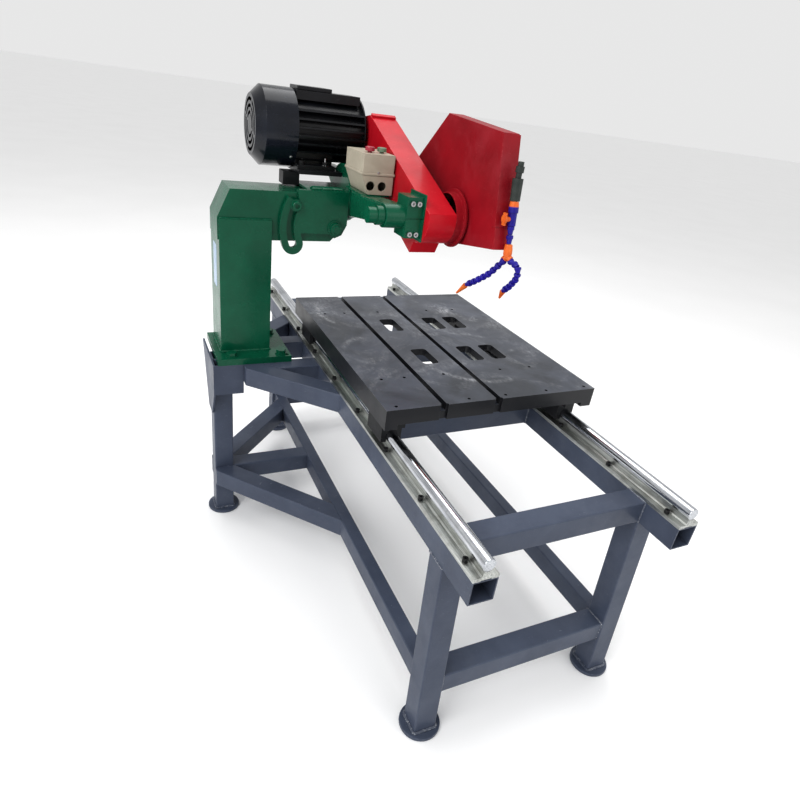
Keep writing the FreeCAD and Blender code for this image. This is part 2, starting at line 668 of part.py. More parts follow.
def makeBelts():
    """Two belts side by side, each a loop between the circles of the two pulleys."""
    reachY, reachZ = values["motorY"] - values["spinY"], values["motorZ"] - values["spinZ"]
    reach, radius = math.hypot(reachY, reachZ), values["pulleyR"] - 8.6
    tilt = Rotation(Vector(1, 0, 0), math.degrees(math.atan2(reachZ, reachY)))
    loops = []
    for start in (5, 23):
        rims = []
        for extra, spare in ((8, 0), (0, 1)):
            r, low = radius + extra, "%s + %d" % (beltLow, start - spare)
            span = block((12 + 2 * spare, "%g" % reach, "%g" % (2 * r)), (0, 0, 0))
            shift = tilt.multVec(Vector(0, 0, -r))
            span.Placement = Placement(shift, tilt)
            place(span, (low, "spinY + %g" % shift.y, "spinZ + %g" % shift.z))
            rims.append(fuse(span, rod(r, 12 + 2 * spare, (low, "spinY", "spinZ"), "x"),
                             rod(r, 12 + 2 * spare, (low, "motorY", "motorZ"), "x")))
        loops.append(cut(*rims))
    node(group(loops), "drive_belts")


# Belt cover: a long sheet box round both pulleys, with a round nose about the spindle.

def coverPoint(along, rise):
    """A place on the belt cover, measured from the spindle along and square to its top face."""
    return "spinY + %g" % (along * 0.924 - rise * 0.381), "spinZ + %g" % (along * 0.381 + rise * 0.924)


def coverShape(inset, thick, low):
    outline = [coverPoint(-30, 43 - inset), coverPoint(441 - inset, 43 - inset),
               ("motorY + %g" % (60 - inset), "motorZ + %g" % (40 - inset)),
               ("motorY + %g" % (60 - inset), "motorZ - %g" % (26 - 1.1 * inset)),
               coverPoint(-17 + inset, -101 + inset)]
    under = [coverPoint(-70, 43 - inset), coverPoint(60, 43 - inset), ("spinY + 70", "spinZ - 90"),
             ("spinY - 90", "spinZ - 90")]
    nose = rod("shroudR - %g" % inset, thick, (low, "spinY", "spinZ"), "x")
    return fuse(plate("YZ", outline, thick, low), common(nose, plate("YZ", under, thick, low)))


def makeBeltCover():
    inner = coverShape(3, "coverW - 2 * sheetT", "coverX + sheetT")
    holes = [rod(30.5, 8, ("coverX - 2", "spinY", "spinZ"), "x"),
             rod(30, 8, ("coverX - 2", "motorY", "motorZ"), "x"),
             rod(30, 8, ("coverX + coverW - 5", "spinY", "spinZ"), "x")]
    node(cut(coverShape(0, "coverW", "coverX"), inner, *holes), "belt_cover")
    edge = [coverPoint(428, 43), coverPoint(441, 43), coverPoint(441, 49), coverPoint(428, 49)]
    node(plate("YZ", edge, "coverW - 4", "coverX + 2"), "cover_edge_strip")


# Blade guard: a flat six-sided box, open underneath, that leans back as the head is raised.

def guardOutline(inset):
    corners = ((-155, 229, 1, -1), (119, 247, -0.4, -1), (270, 116, -1, -0.5), (229, -106, -1, -4),
               (-202, -30, 1.2, -4), (-193, 21, 1, 0))
    return [("spinY + %g" % (y + a * inset), "spinZ + %g" % (z + b * inset)) for y, z, a, b in corners]


def makeGuard():
    low = "midX - guardW / 2"
    outer = plate("YZ", guardOutline(0), "guardW", low)
    inner = plate("YZ", guardOutline(3), "guardW - 2 * sheetT", low + " + sheetT")
    node(cut(outer, inner, onSpindle("shroudR - sheetT", low + " - 10", low + " + 10")), "blade_guard")


# Motor with its feet, end bells, fan cowl and terminal box.

def onMotor(radius, first, length):
    return rod(radius, length, ("frameX + %g" % first, "motorY", "motorZ"), "x")


def spread(size, first, count, radius, start=0):
    """Blocks set round the motor's axis. Each is size long, deep and thick."""
    shapes = []
    for i in range(count):
        piece = block(size, (0, 0, 0))
        turn = Rotation(Vector(1, 0, 0), start + i * 360 / count)
        shift = turn.multVec(Vector(0, radius, -size[2] / 2))
        piece.Placement = Placement(shift, turn)
        shapes.append(place(piece, ("frameX + %g" % first, "motorY + %g" % shift.y, "motorZ + %g" % shift.z)))
    return shapes


def motorBoltSpots():
    return [("frameX + %d" % dx, "motorY + %d" % dy) for dx in (19, 91) for dy in (-80, 80)]


def makeMotor():
    plates = [block((201.5, 212, 5), ("frameX", "motorY - 106", "motorZ + %g" % (dz - 2.5)))
              for dz in (-75, -53, -31, -9, 13, 35, 57)]
    fins = [common(fuse(*plates), onMotor(106, 0, 201.5))]
    feet = []
    for way in (-1, 1):
        feet.append(block((116, 44, 12), ("frameX + 1", "motorY + %d" % (way * 78 - 22), "motorZ - 100")))
        feet.append(block((116, 12, 46), ("frameX + 1", "motorY + %d" % (way * 58 - 6), "motorZ - 96")))
    top = block((194, 104, 24), ("frameX + 3", "motorY - 52", "motorZ + 82"))
    drills = [rod(6, 60, (x, y, "motorZ - 130")) for x, y in motorBoltSpots()]
    frame = cut(fuse(onMotor(86, 0, 201.5), top, *(fins + feet)), onMotor(76, -1, 204), *drills)
    node(frame, "motor_frame")
    node(group([boltDown(x, y, "(motorZ - 88)", 9, 9, 6, 20) for x, y in motorBoltSpots()]), "motor_bolts")
    lid = block((104, 92, 11), ("frameX + 8", "motorY - 46", "motorZ + 106"))
    node(fillet(lid, (1, 3, 5, 7), 6), "terminal_box_lid")
    bell = fuse(onMotor(104, 201.5, 5), cone("98", "70", 8.5, ("frameX + 206.5", "motorY", "motorZ"), "x"))
    bore = onMotor("14 + fit", -20, 260)
    node(group([cut(bell, bore), cut(onMotor(88, -12, 12), bore)]), "motor_end_bells")
    cowl = fuse(onMotor("motorR", -92, 92),
                cone("motorR - 26", "motorR", 26, ("frameX - 118", "motorY", "motorZ"), "x"))
    hollow = fuse(onMotor("motorR - 2", -92, 93),
                  cone("motorR - 28", "motorR - 2", 24, ("frameX - 116", "motorY", "motorZ"), "x"))
    slots = [cut(onMotor(r, -120, 8), onMotor(r - 9, -121, 10)) for r in (72, 54, 36)]
    ribs = spread((12, 180, 8), -122, 4, -90, 22.5)
    node(cut(cowl, hollow, cut(fuse(*slots), fuse(*ribs))), "fan_cowl")
    node(fuse(onMotor(14, -76, 338), onMotor(73, 24, 150)), "motor_rotor")
    fan = fuse(onMotor(26, -74, 30), *spread((28, 66, 3), -73, 7, 20))
    node(cut(fan, onMotor(14, -90, 60)), "cooling_fan")
    node(pulley(14, "motorY", "motorZ"), "motor_pulley")


# Switch box on the swing arm, with a start and a stop button that travel.

def makeSwitch():
    low, x, y = "spinZ + 20", "coverX - 99", "spinY + 163"
    base = cut(block((93, 136, 50), (x, y, low)),
               block((87, 130, 60), (x + " + 3", y + " + 3", low + " + 3")))
    entries = [rod(12, 20, (x + " + %d" % dx, y + " - 10", low + " + 23"), "y") for dx in (26, 60)]
    node(cut(base, *entries), "switch_box")
    lid = fuse(block((97, 140, 7), (x + " - 2", y + " - 2", low + " + 50")),
               block((93, 136, 48), (x, y, low + " + 57")))
    spots = [(x + " + %d" % dx, y + " + 34") for dx in (29, 64)]
    stems = [rod("6 + fit", 60, (bx, by, low + " + 60")) for bx, by in spots]
    node(cut(lid, block((87, 130, 53), (x + " + 3", y + " + 3", low + " + 49")), *stems), "switch_lid")
    for (bx, by), name in zip(spots, ("stop_button", "start_button")):
        node(fuse(rod(13, 11, (bx, by, low + " + 109")), rod(6, 26, (bx, by, low + " + 84"))), name)


# Coolant line down the front of the guard: feed pipe, adapter, valve, beads, a Y and two
# branches of beads with a nozzle each. Places are measured from the spindle and the blade plane.

def taper(radius1, radius2, start, end):
    base, tip = Vector(*start), Vector(*end)
    run = tip - base
    obj = doc.addObject("Part::Cone", "Bead")
    obj.Radius1, obj.Radius2, obj.Height = radius1, radius2, run.Length
    obj.Placement = Placement(base, Rotation(Vector(0, 0, 1), run))
    return place(obj, ("midX + %g" % start[0], "spinY + %g" % start[1], "spinZ + %g" % start[2]))


def between(a, b, share):
    return tuple(p + (q - p) * share for p, q in zip(a, b))


def beadLine(points, count):
    """Beads one after another along a bent line, each a taper with a wider ring."""
    lengths = [math.dist(a, b) for a, b in zip(points, points[1:])]
    step = sum(lengths) / count
    def at(distance):
        for a, b, length in zip(points, points[1:], lengths):
            if distance <= length:
                return between(a, b, distance / length)
            distance -= length
        return points[-1]
    beads = []
    for i in range(count):
        a, b = at(i * step), at((i + 1) * step)
        beads.append(fuse(taper(8.2, 8.2, between(a, b, 0.02), between(a, b, 0.42)),
                          taper(7.4, 5.6, between(a, b, 0.3), between(a, b, 0.98))))
    return group(beads)


branches = [
    ([(4, -221, -50), (-10, -186, -96), (-18, -146, -126), (-22, -112, -147)], 8, (-30, -83, -180)),
    ([(16, -226, -50), (22, -255, -56), (23, -262, -80), (22, -240, -110), (23, -215, -130)], 8,
     (26, -202, -154)),
]


def makeCoolant():
    top, joint, fitting = (12, -197, 174), (12, -197, 136), (12, -202, 86)
    valve, knob, wye, fork = (12, -205, 60), (12, -208, 30), (12, -214, -12), (12, -218, -44)
    adapter = taper(13, 12, between(joint, fitting, -0.02), between(joint, fitting, 0.98))
    nut = taper(10, 10, (12, -197, 164), (12, -197, 150))
    node(fuse(taper(7, 7, top, joint), nut, adapter), "coolant_feed_pipe")
    middle = between(fitting, valve, 0.5)
    body = fuse(taper(10, 12, fitting, middle), taper(12, 12, middle, valve), taper(10, 10, valve, knob))
    x, y, z = between(valve, knob, 0.5)
    y, z = "spinY + %g" % y, "spinZ + %g" % z
    node(cut(body, rod("6 + fit", 18, ("midX + %g" % (x - 22), y, z), "x")), "valve_body")
    grip = ("midX + %g" % (x - 25), y, z)
    lever = block((6, 10, 30), (grip[0], y + " - 5", z + " - 15"))
    node(fuse(rod(6, 20.5, grip, "x"), rod(10, 6, grip, "x"), lever), "valve_knob")
    beads, nozzles = [beadLine([knob, wye], 2)], []
    for points, count, tip in branches:
        beads.append(beadLine(points, count))
        nozzles.append(taper(7.5, 2.6, between(points[-1], tip, 0.1), tip))
    middle = between(wye, fork, 0.7)
    node(group(beads), "coolant_beads")
    node(fuse(taper(9, 11, between(wye, fork, 0.02), middle), taper(11, 9, middle, fork)), "coolant_wye")
    node(group(nozzles), "coolant_nozzles")


makeRails()
makeLegs()
makeBeams()
makeOutrigger()
makeTable()
makeColumn()
makeBracket()
makeSwingArm()
makeSpindle()
makeBelts()
makeBeltCover()
makeGuard()
makeMotor()
makeSwitch()
makeCoolant()
doc.recompute()

for obj in doc.Objects:
    if "Invalid" in obj.State or "Error" in obj.State:
        raise RuntimeError("%s (%s) failed: %s" % (obj.Name, obj.Label, obj.State))
for obj in nodes:
    box = obj.Shape.BoundBox
    if obj.Shape.isNull() or not obj.Shape.isValid():
        raise RuntimeError("bad shape: " + obj.Label)
    print("%-28s %2d %7.0f" % (obj.Label, len(obj.Shape.Solids), obj.Shape.Volume / 1000),
          "%7.1f %7.1f %7.1f %7.1f %7.1f %7.1f" % (box.XMin, box.XMax, box.YMin, box.YMax, box.ZMin, box.ZMax))
os.makedirs("parts", exist_ok=True)
for obj in nodes:
    obj.Shape.exportStep("parts/" + obj.Label + ".step")
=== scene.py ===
import json
import math

import bmesh
import bpy
from mathutils import Matrix, Vector

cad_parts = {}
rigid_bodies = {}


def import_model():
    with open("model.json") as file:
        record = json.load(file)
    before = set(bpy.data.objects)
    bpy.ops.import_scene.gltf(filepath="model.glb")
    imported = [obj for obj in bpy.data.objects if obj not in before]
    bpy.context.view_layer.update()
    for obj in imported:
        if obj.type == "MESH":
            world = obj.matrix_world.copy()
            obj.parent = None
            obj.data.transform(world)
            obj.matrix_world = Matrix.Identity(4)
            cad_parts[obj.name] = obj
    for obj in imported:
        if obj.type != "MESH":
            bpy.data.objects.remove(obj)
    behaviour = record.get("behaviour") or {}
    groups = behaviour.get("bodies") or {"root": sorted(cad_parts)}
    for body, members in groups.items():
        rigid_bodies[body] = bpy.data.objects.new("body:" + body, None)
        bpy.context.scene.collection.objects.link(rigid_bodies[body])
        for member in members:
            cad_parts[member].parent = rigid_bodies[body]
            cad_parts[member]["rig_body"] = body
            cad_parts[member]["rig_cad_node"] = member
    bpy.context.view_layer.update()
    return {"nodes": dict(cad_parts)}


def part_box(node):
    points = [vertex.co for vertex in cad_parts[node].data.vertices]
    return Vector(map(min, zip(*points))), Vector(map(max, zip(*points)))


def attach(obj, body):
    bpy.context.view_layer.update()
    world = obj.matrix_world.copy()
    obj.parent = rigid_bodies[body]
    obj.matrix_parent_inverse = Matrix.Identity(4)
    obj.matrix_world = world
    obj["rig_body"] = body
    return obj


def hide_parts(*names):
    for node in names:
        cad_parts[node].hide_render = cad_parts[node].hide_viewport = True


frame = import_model()
print("loaded the frame:", len(frame["nodes"]), "nodes")

# lengths in metres, angles in degrees
meshRules = {"merge": 0.00001, "flat": 0.8, "sharp": 30, "smooth": 35, "normalWeight": 80}


# selection and copying

def selectOnly(*objs):
    if bpy.context.mode != "OBJECT":
        bpy.ops.object.mode_set(mode="OBJECT")
    bpy.ops.object.select_all(action="DESELECT")
    for obj in objs:
        obj.select_set(True)
    bpy.context.view_layer.objects.active = objs[0]


def nodeCopy(nodeName, newName):
    selectOnly(frame["nodes"][nodeName])
    bpy.ops.object.duplicate()
    piece = bpy.context.active_object
    bpy.ops.object.parent_clear(type="CLEAR_KEEP_TRANSFORM")
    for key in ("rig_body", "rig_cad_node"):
        if key in piece:
            del piece[key]
    piece.name = piece.data.name = newName
    bpy.ops.object.mode_set(mode="EDIT")
    bpy.ops.mesh.select_all(action="SELECT")
    bpy.ops.mesh.customdata_custom_splitnormals_clear()
    bpy.ops.mesh.remove_doubles(threshold=meshRules["merge"])
    bpy.ops.mesh.dissolve_limited(angle_limit=math.radians(meshRules["flat"]))
    bpy.ops.object.mode_set(mode="OBJECT")
    return piece


def applyModifier(piece, kind, **settings):
    selectOnly(piece)
    modifier = piece.modifiers.new(kind.title(), kind)
    for key, value in settings.items():
        setattr(modifier, key, value)
    bpy.ops.object.modifier_apply(modifier=modifier.name)


def smooth(piece, angle=meshRules["smooth"]):
    selectOnly(piece)
    bpy.ops.object.shade_smooth_by_angle(angle=math.radians(angle))
    applyModifier(piece, "WEIGHTED_NORMAL", keep_sharp=True, weight=meshRules["normalWeight"])


# marks the edges that a maker would find rounded: long outer ones fully, other sharp ones a little
def weighEdges(piece, longest, share):
    mesh = bmesh.new()
    mesh.from_mesh(piece.data)
    layer = mesh.edges.layers.float.new("bevel_weight_edge")
    sharp = math.radians(meshRules["sharp"])
    for edge in mesh.edges:
        if len(edge.link_faces) == 2 and edge.calc_face_angle(0) > sharp:
            outer = edge.is_convex and edge.calc_length() > longest
            edge[layer] = 1.0 if outer else share
    mesh.to_mesh(piece.data)
    mesh.free()


def rounded(piece, width, segments=2, longest=None, share=0.2):
    settings = dict(width=width, segments=segments, use_clamp_overlap=True, loop_slide=True)
    if longest is None:
        sharp = math.radians(meshRules["sharp"])
        applyModifier(piece, "BEVEL", limit_method="ANGLE", angle_limit=sharp, **settings)
    else:
        weighEdges(piece, longest, share)
        applyModifier(piece, "BEVEL", limit_method="WEIGHT", **settings)
    smooth(piece)


def settle(piece, body, material, slotName, *nodes):
    piece.data.materials.clear()
    piece.data.materials.append(material)
    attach(piece, body)
    if nodes:
        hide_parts(*nodes)
    return piece


def copyTo(model, places, newName):
    copies = []
    for place in places:
        copy = bpy.data.objects.new(newName, model.data.copy())
        bpy.context.scene.collection.objects.link(copy)
        copy.data.transform(place)
        copies.append(copy)
    selectOnly(*copies)
    if len(copies) > 1:
        bpy.ops.object.join()
    piece = bpy.context.active_object
    piece.name = piece.data.name = newName
    selectOnly(piece)
    return piece


def remove(obj):
    selectOnly(obj)
    bpy.ops.object.delete()


def applyPlace(piece):
    selectOnly(piece)
    bpy.ops.object.transform_apply(location=True, rotation=True, scale=True)


# a turned part along an axis from start: (distance, radius) stations, both ends closed
def turned(newName, start, axis, stations, sides=32):
    bpy.ops.object.select_all(action="DESELECT")
    turn = Vector(axis).to_track_quat("Z", "Y")
    height, radius = stations[0]
    base = {"fill_type": "NGON", "location": (0, 0, height)}
    bpy.ops.mesh.primitive_circle_add(vertices=sides, radius=radius, **base)
    piece = bpy.context.active_object
    piece.name = piece.data.name = newName
    bpy.ops.object.mode_set(mode="EDIT")
    bpy.ops.mesh.select_all(action="SELECT")
    for last, now in zip(stations, stations[1:]):
        bpy.ops.mesh.extrude_region_move(TRANSFORM_OT_translate={"value": (0, 0, now[0] - last[0])})
        factor = now[1] / last[1]
        bpy.ops.transform.resize(value=(factor, factor, 1))
    bpy.ops.mesh.select_all(action="SELECT")
    bpy.ops.mesh.normals_make_consistent(inside=False)
    bpy.ops.object.mode_set(mode="OBJECT")
    turnIn = turn.to_matrix().to_4x4()
    piece.data.transform(Matrix.Translation(Vector(start)) @ turnIn @ piece.matrix_world)
    piece.matrix_world = Matrix.Identity(4)
    smooth(piece)
    return piece


# material building blocks

def newMaterial(name, roughness=0.5, metallic=0.0, coat=0.0, coatRoughness=0.1, shine=0.3):
    material = bpy.data.materials.new(name)
    material.use_nodes = True
    shader = material.node_tree.nodes["Principled BSDF"]
    shader.inputs["Roughness"].default_value = roughness
    shader.inputs["Metallic"].default_value = metallic
    shader.inputs["Coat Weight"].default_value = coat
    shader.inputs["Coat Roughness"].default_value = coatRoughness
    shader.inputs["IOR"].default_value = 1.5
    shader.inputs["Specular IOR Level"].default_value = shine
    return material


def link(material, source, socketName):
    shader = material.node_tree.nodes["Principled BSDF"]
    material.node_tree.links.new(source, shader.inputs[socketName])


def coords(material, stretch=(1, 1, 1)):
    nodes, links = material.node_tree.nodes, material.node_tree.links
    place = nodes.new("ShaderNodeTexCoord")
    mapping = nodes.new("ShaderNodeMapping")
    mapping.inputs["Scale"].default_value = stretch
    links.new(place.outputs["Object"], mapping.inputs["Vector"])
    return mapping.outputs["Vector"]


def noise(material, scale, detail=4, rough=0.55, distortion=0.0, stretch=(1, 1, 1)):
    node = material.node_tree.nodes.new("ShaderNodeTexNoise")
    node.inputs["Scale"].default_value = scale
    node.inputs["Detail"].default_value = detail
    node.inputs["Roughness"].default_value = rough
    node.inputs["Distortion"].default_value = distortion
    material.node_tree.links.new(coords(material, stretch), node.inputs["Vector"])
    return node.outputs["Fac"]


# stops are (place, colour or grey)
def ramp(material, source, *stops):
    node = material.node_tree.nodes.new("ShaderNodeValToRGB")
    elements = node.color_ramp.elements
    while len(elements) < len(stops):
        elements.new(0.5)
    for element, (spot, colour) in zip(elements, stops):
        element.position = spot
        shade = (colour,) * 3 if isinstance(colour, (int, float)) else colour
        element.color = (*shade, 1)
    material.node_tree.links.new(source, node.inputs["Fac"])
    return node.outputs["Color"]


# a colour mix: the node's sockets 0, 6 and 7 are its factor and its two colours
def mixed(material, factor, first, second):
    node = material.node_tree.nodes.new("ShaderNodeMix")
    node.data_type = "RGBA"
    links = material.node_tree.links
    for socket, value in ((node.inputs[0], factor), (node.inputs[6], first), (node.inputs[7], second)):
        if isinstance(value, bpy.types.NodeSocket):
            links.new(value, socket)
        elif isinstance(value, (int, float)):
            socket.default_value = value
        else:
            socket.default_value = (*value, 1)
    return node.outputs[2]


def math2(material, operation, first, second):
    node = material.node_tree.nodes.new("ShaderNodeMath")
    node.operation, node.use_clamp = operation, True
    for socket, value in zip(node.inputs, (first, second)):
        if isinstance(value, bpy.types.NodeSocket):
            material.node_tree.links.new(value, socket)
        else:
            socket.default_value = value
    return node.outputs[0]


# white near outer and inner corners, black on flat places
def edges(material, radius, gain=6.0):
    nodes, links = material.node_tree.nodes, material.node_tree.links
    soft = nodes.new("ShaderNodeBevel")
    soft.samples = 4
    soft.inputs["Radius"].default_value = radius
    plain = nodes.new("ShaderNodeNewGeometry")
    dot = nodes.new("ShaderNodeVectorMath")
    dot.operation = "DOT_PRODUCT"
    links.new(soft.outputs["Normal"], dot.inputs[0])
    links.new(plain.outputs["Normal"], dot.inputs[1])
    turned = math2(material, "SUBTRACT", 1.0, dot.outputs["Value"])
    return math2(material, "MULTIPLY", turned, gain)


def bump(material, *heights):
    nodes, links = material.node_tree.nodes, material.node_tree.links
    normal = None
    for height, strength, distance in heights:
        node = nodes.new("ShaderNodeBump")
        node.inputs["Strength"].default_value = strength
        node.inputs["Distance"].default_value = distance
        links.new(height, node.inputs["Height"])
        if normal is not None:
            links.new(normal, node.inputs["Normal"])
        normal = node.outputs["Normal"]
    link(material, normal, "Normal")


# screen colour of 0 to 255 to the linear colour of a shader
def linear(red, green, blue):
    tones = []
    for value in (red, green, blue):
        share = value / 255
        tones.append(share / 12.92 if value <= 10 else ((share + 0.055) / 1.055) ** 2.4)
    return tuple(tones)


# painted metal: tone wanders, corners wear to a paler tone (on the welds a near-white tone that is partly
# wear and partly painted glints), dust and scuffs dull the gloss
def paint(name, colour, darker, wearAndGlintTone, gloss, dull, peel=0.12, peelScale=420, coat=0.25, wornShare=0.55,
          dust=None, dustShare=0.0, radius=0.0025, shine=0.2):
    material = newMaterial(name, coat=coat, coatRoughness=0.12, shine=shine)
    drift = ramp(material, noise(material, 5, 5, 0.6), (0.35, 0.0), (0.7, 1.0))
    tone = mixed(material, drift, darker, colour)
    blotch = ramp(material, noise(material, 23, 4, 0.6), (0.52, 0.0), (0.75, 0.35))
    tone = mixed(material, blotch, tone, darker)
    if dust:
        cloud = ramp(material, noise(material, 9, 8, 0.7, 0.4), (0.5, 0.0), (0.78, dustShare))
        tone = mixed(material, cloud, tone, dust)
    chips = ramp(material, noise(material, 160, 3, 0.6), (0.5, 0.0), (0.62, 1.0))
    wear = math2(material, "MULTIPLY", edges(material, radius), chips)
    tone = mixed(material, math2(material, "MULTIPLY", wear, wornShare), tone, wearAndGlintTone)
    scratches = ramp(material, noise(material, 60, 2, 0.5, 1.5, (1, 1, 9)), (0.70, 0.0), (0.735, 0.35))
    tone = mixed(material, scratches, tone, wearAndGlintTone)
    link(material, tone, "Base Color")
    link(material, ramp(material, noise(material, 14, 6, 0.65), (0.3, gloss), (0.75, dull)), "Roughness")
    skin, waviness = noise(material, peelScale, 3, 0.5), noise(material, 38, 3, 0.5)
    bump(material, (skin, peel, 0.0006), (waviness, 0.1, 0.002))
    return material


# bare metal: grain runs one way, with oil stains
def metal(name, colour, darker, gloss, dull, stain, stainShare, grain=(1, 1, 1), lines=0.08):
    material = newMaterial(name, metallic=1.0)
    streak = noise(material, 300, 3, 0.6, 0, grain)
    tone = mixed(material, ramp(material, streak, (0.35, 0.0), (0.65, 1.0)), darker, colour)
    cloud = ramp(material, noise(material, 17, 7, 0.7, 0.3), (0.48, 0.0), (0.72, stainShare))
    tone = mixed(material, cloud, tone, stain)
    link(material, tone, "Base Color")
    link(material, ramp(material, noise(material, 26, 6, 0.6), (0.3, gloss), (0.7, dull)), "Roughness")
    bump(material, (streak, lines, 0.0004))
    return material


# moulded plastic: fine grain, faint flow marks, and a darker tone of its own colour painted near corners and
# creases as shade
def plastic(name, colour, darker, gloss, dull, grainScale=700, coat=0.0, clear=0.0, cornerShade=None):
    material = newMaterial(name, coat=coat)
    shader = material.node_tree.nodes["Principled BSDF"]
    shader.inputs["Subsurface Weight"].default_value = clear
    shader.inputs["Subsurface Scale"].default_value = 0.004
    flow = ramp(material, noise(material, 12, 5, 0.6, 0.6), (0.35, 0.0), (0.7, 1.0))
    tone = mixed(material, flow, darker, colour)
    if cornerShade:
        # painted shade: a darker tone near edges, corners and creases, broken up by noise
        corner = math2(material, "MULTIPLY", edges(material, 0.003, 3.0), noise(material, 90, 4, 0.7))
        tone = mixed(material, corner, tone, cornerShade)
    link(material, tone, "Base Color")
    link(material, ramp(material, noise(material, 40, 5, 0.6), (0.3, gloss), (0.7, dull)), "Roughness")
    bump(material, (noise(material, grainScale, 2, 0.5), 0.08, 0.0003))
    return material


# finishes

framePaint = paint("framePaint", linear(76, 84, 101), linear(62, 69, 85), linear(128, 134, 148), 0.36, 0.55,
                   dust=linear(116, 120, 130), dustShare=0.14, coat=0.12)
# weld paint: the near-white tone on the ripples of the beads is partly bare worn metal and partly painted
# glints
weldPaintAndGlints = paint("weldPaintAndGlints", linear(84, 91, 106), linear(60, 66, 80), linear(190, 194, 200), 0.2, 0.4,
                  coat=0.35, wornShare=0.9, shine=0.35)
greenEnamel = paint("greenEnamel", linear(7, 90, 64), linear(3, 72, 50), linear(48, 132, 104), 0.17, 0.34,
                    peel=0.28, peelScale=140, coat=0.16, wornShare=0.4)
coverRed = paint("coverRed", linear(200, 26, 42), linear(166, 14, 30), linear(214, 96, 100), 0.28, 0.46,
                 coat=0.08, shine=0.15)
guardRed = paint("guardRed", linear(150, 18, 32), linear(124, 12, 24), linear(196, 96, 98), 0.34, 0.58,
                 dust=linear(170, 66, 76), dustShare=0.35, coat=0.05, shine=0.15)
motorBlack = paint("motorBlack", linear(22, 24, 29), linear(9, 10, 13), linear(70, 74, 82), 0.24, 0.42,
                   peel=0.3, peelScale=260, coat=0.12, wornShare=0.3, shine=0.25)
# fan cowl: the motor's black tinted blue, a painted blue sheen
cowlBlackBlueSheen = paint("cowlBlackBlueSheen", linear(24, 29, 40), linear(11, 14, 22), linear(70, 78, 92), 0.15, 0.3,
                  peel=0.08, coat=0.28, wornShare=0.25)
blackSteel = paint("blackSteel", linear(34, 35, 38), linear(20, 21, 23), linear(112, 110, 106), 0.32, 0.55,
                   coat=0.08, wornShare=0.6, radius=0.0015)
railAluminium = metal("railAluminium", linear(206, 208, 204), linear(160, 163, 160), 0.32, 0.52,
                      grain=(1, 0.03, 1), stain=linear(118, 116, 108), stainShare=0.6)
shaftChrome = metal("shaftChrome", linear(214, 216, 220), linear(168, 172, 178), 0.07, 0.2,
                    grain=(1, 0.02, 1), stain=linear(100, 98, 94), stainShare=0.4, lines=0.03)
brightSteel = metal("brightSteel", linear(205, 205, 205), linear(150, 150, 152), 0.2, 0.42,
                    stain=linear(110, 100, 90), stainShare=0.4)
boxPlastic = plastic("boxPlastic", linear(186, 178, 162), linear(166, 158, 142), 0.3, 0.5,
                     cornerShade=linear(90, 84, 72))
fanPlastic = plastic("fanPlastic", linear(22, 23, 26), linear(14, 15, 17), 0.35, 0.6)
stopRed = plastic("stopRed", linear(186, 70, 84), linear(150, 40, 58), 0.18, 0.34, coat=0.3, clear=0.2)
startGreen = plastic("startGreen", linear(122, 140, 118), linear(92, 112, 92), 0.18, 0.34,
                     coat=0.3, clear=0.2)
beadBlue = plastic("beadBlue", linear(44, 32, 168), linear(28, 18, 122), 0.28, 0.45,
                   clear=0.05, cornerShade=linear(12, 10, 60))
beadOrange = plastic("beadOrange", linear(236, 128, 56), linear(206, 92, 34), 0.28, 0.45,
                     clear=0.05, cornerShade=linear(140, 60, 20))
hoseGrey = plastic("hoseGrey", linear(64, 70, 66), linear(40, 46, 44), 0.34, 0.55, cornerShade=linear(20, 22, 22))
beltRubber = plastic("beltRubber", linear(30, 30, 31), linear(20, 20, 21), 0.6, 0.8, grainScale=900)
labelPaper = plastic("labelPaper", linear(176, 196, 214), linear(140, 168, 200), 0.25, 0.4,
                     grainScale=300, coat=0.3)
print("finishes made")


# slate-grey table: smears of chalky cutting dust, and rings where stone was turned round,
# each by its x, y and radius
tableMarks = {
    "smears": ((-0.085, 0.215, 0.075), (0.335, 0.215, 0.085), (0.395, 0.13, 0.05)),
    "rings": ((0.075, 0.225, 0.20), (0.40, -0.17, 0.034), (-0.02, -0.11, 0.13), (0.22, -0.16, 0.17)),
    "ringWidth": 0.014,
}


def distanceFrom(material, x, y):
    nodes, links = material.node_tree.nodes, material.node_tree.links
    flat = nodes.new("ShaderNodeVectorMath")
    flat.operation = "MULTIPLY"
    flat.inputs[1].default_value = (1, 1, 0)
    shifted = nodes.new("ShaderNodeVectorMath")
    shifted.operation = "SUBTRACT"
    shifted.inputs[1].default_value = (x, y, 0)
    links.new(coords(material), flat.inputs[0])
    links.new(flat.outputs[0], shifted.inputs[0])
    length = nodes.new("ShaderNodeVectorMath")
    length.operation = "LENGTH"
    links.new(shifted.outputs[0], length.inputs[0])
    return length.outputs["Value"]


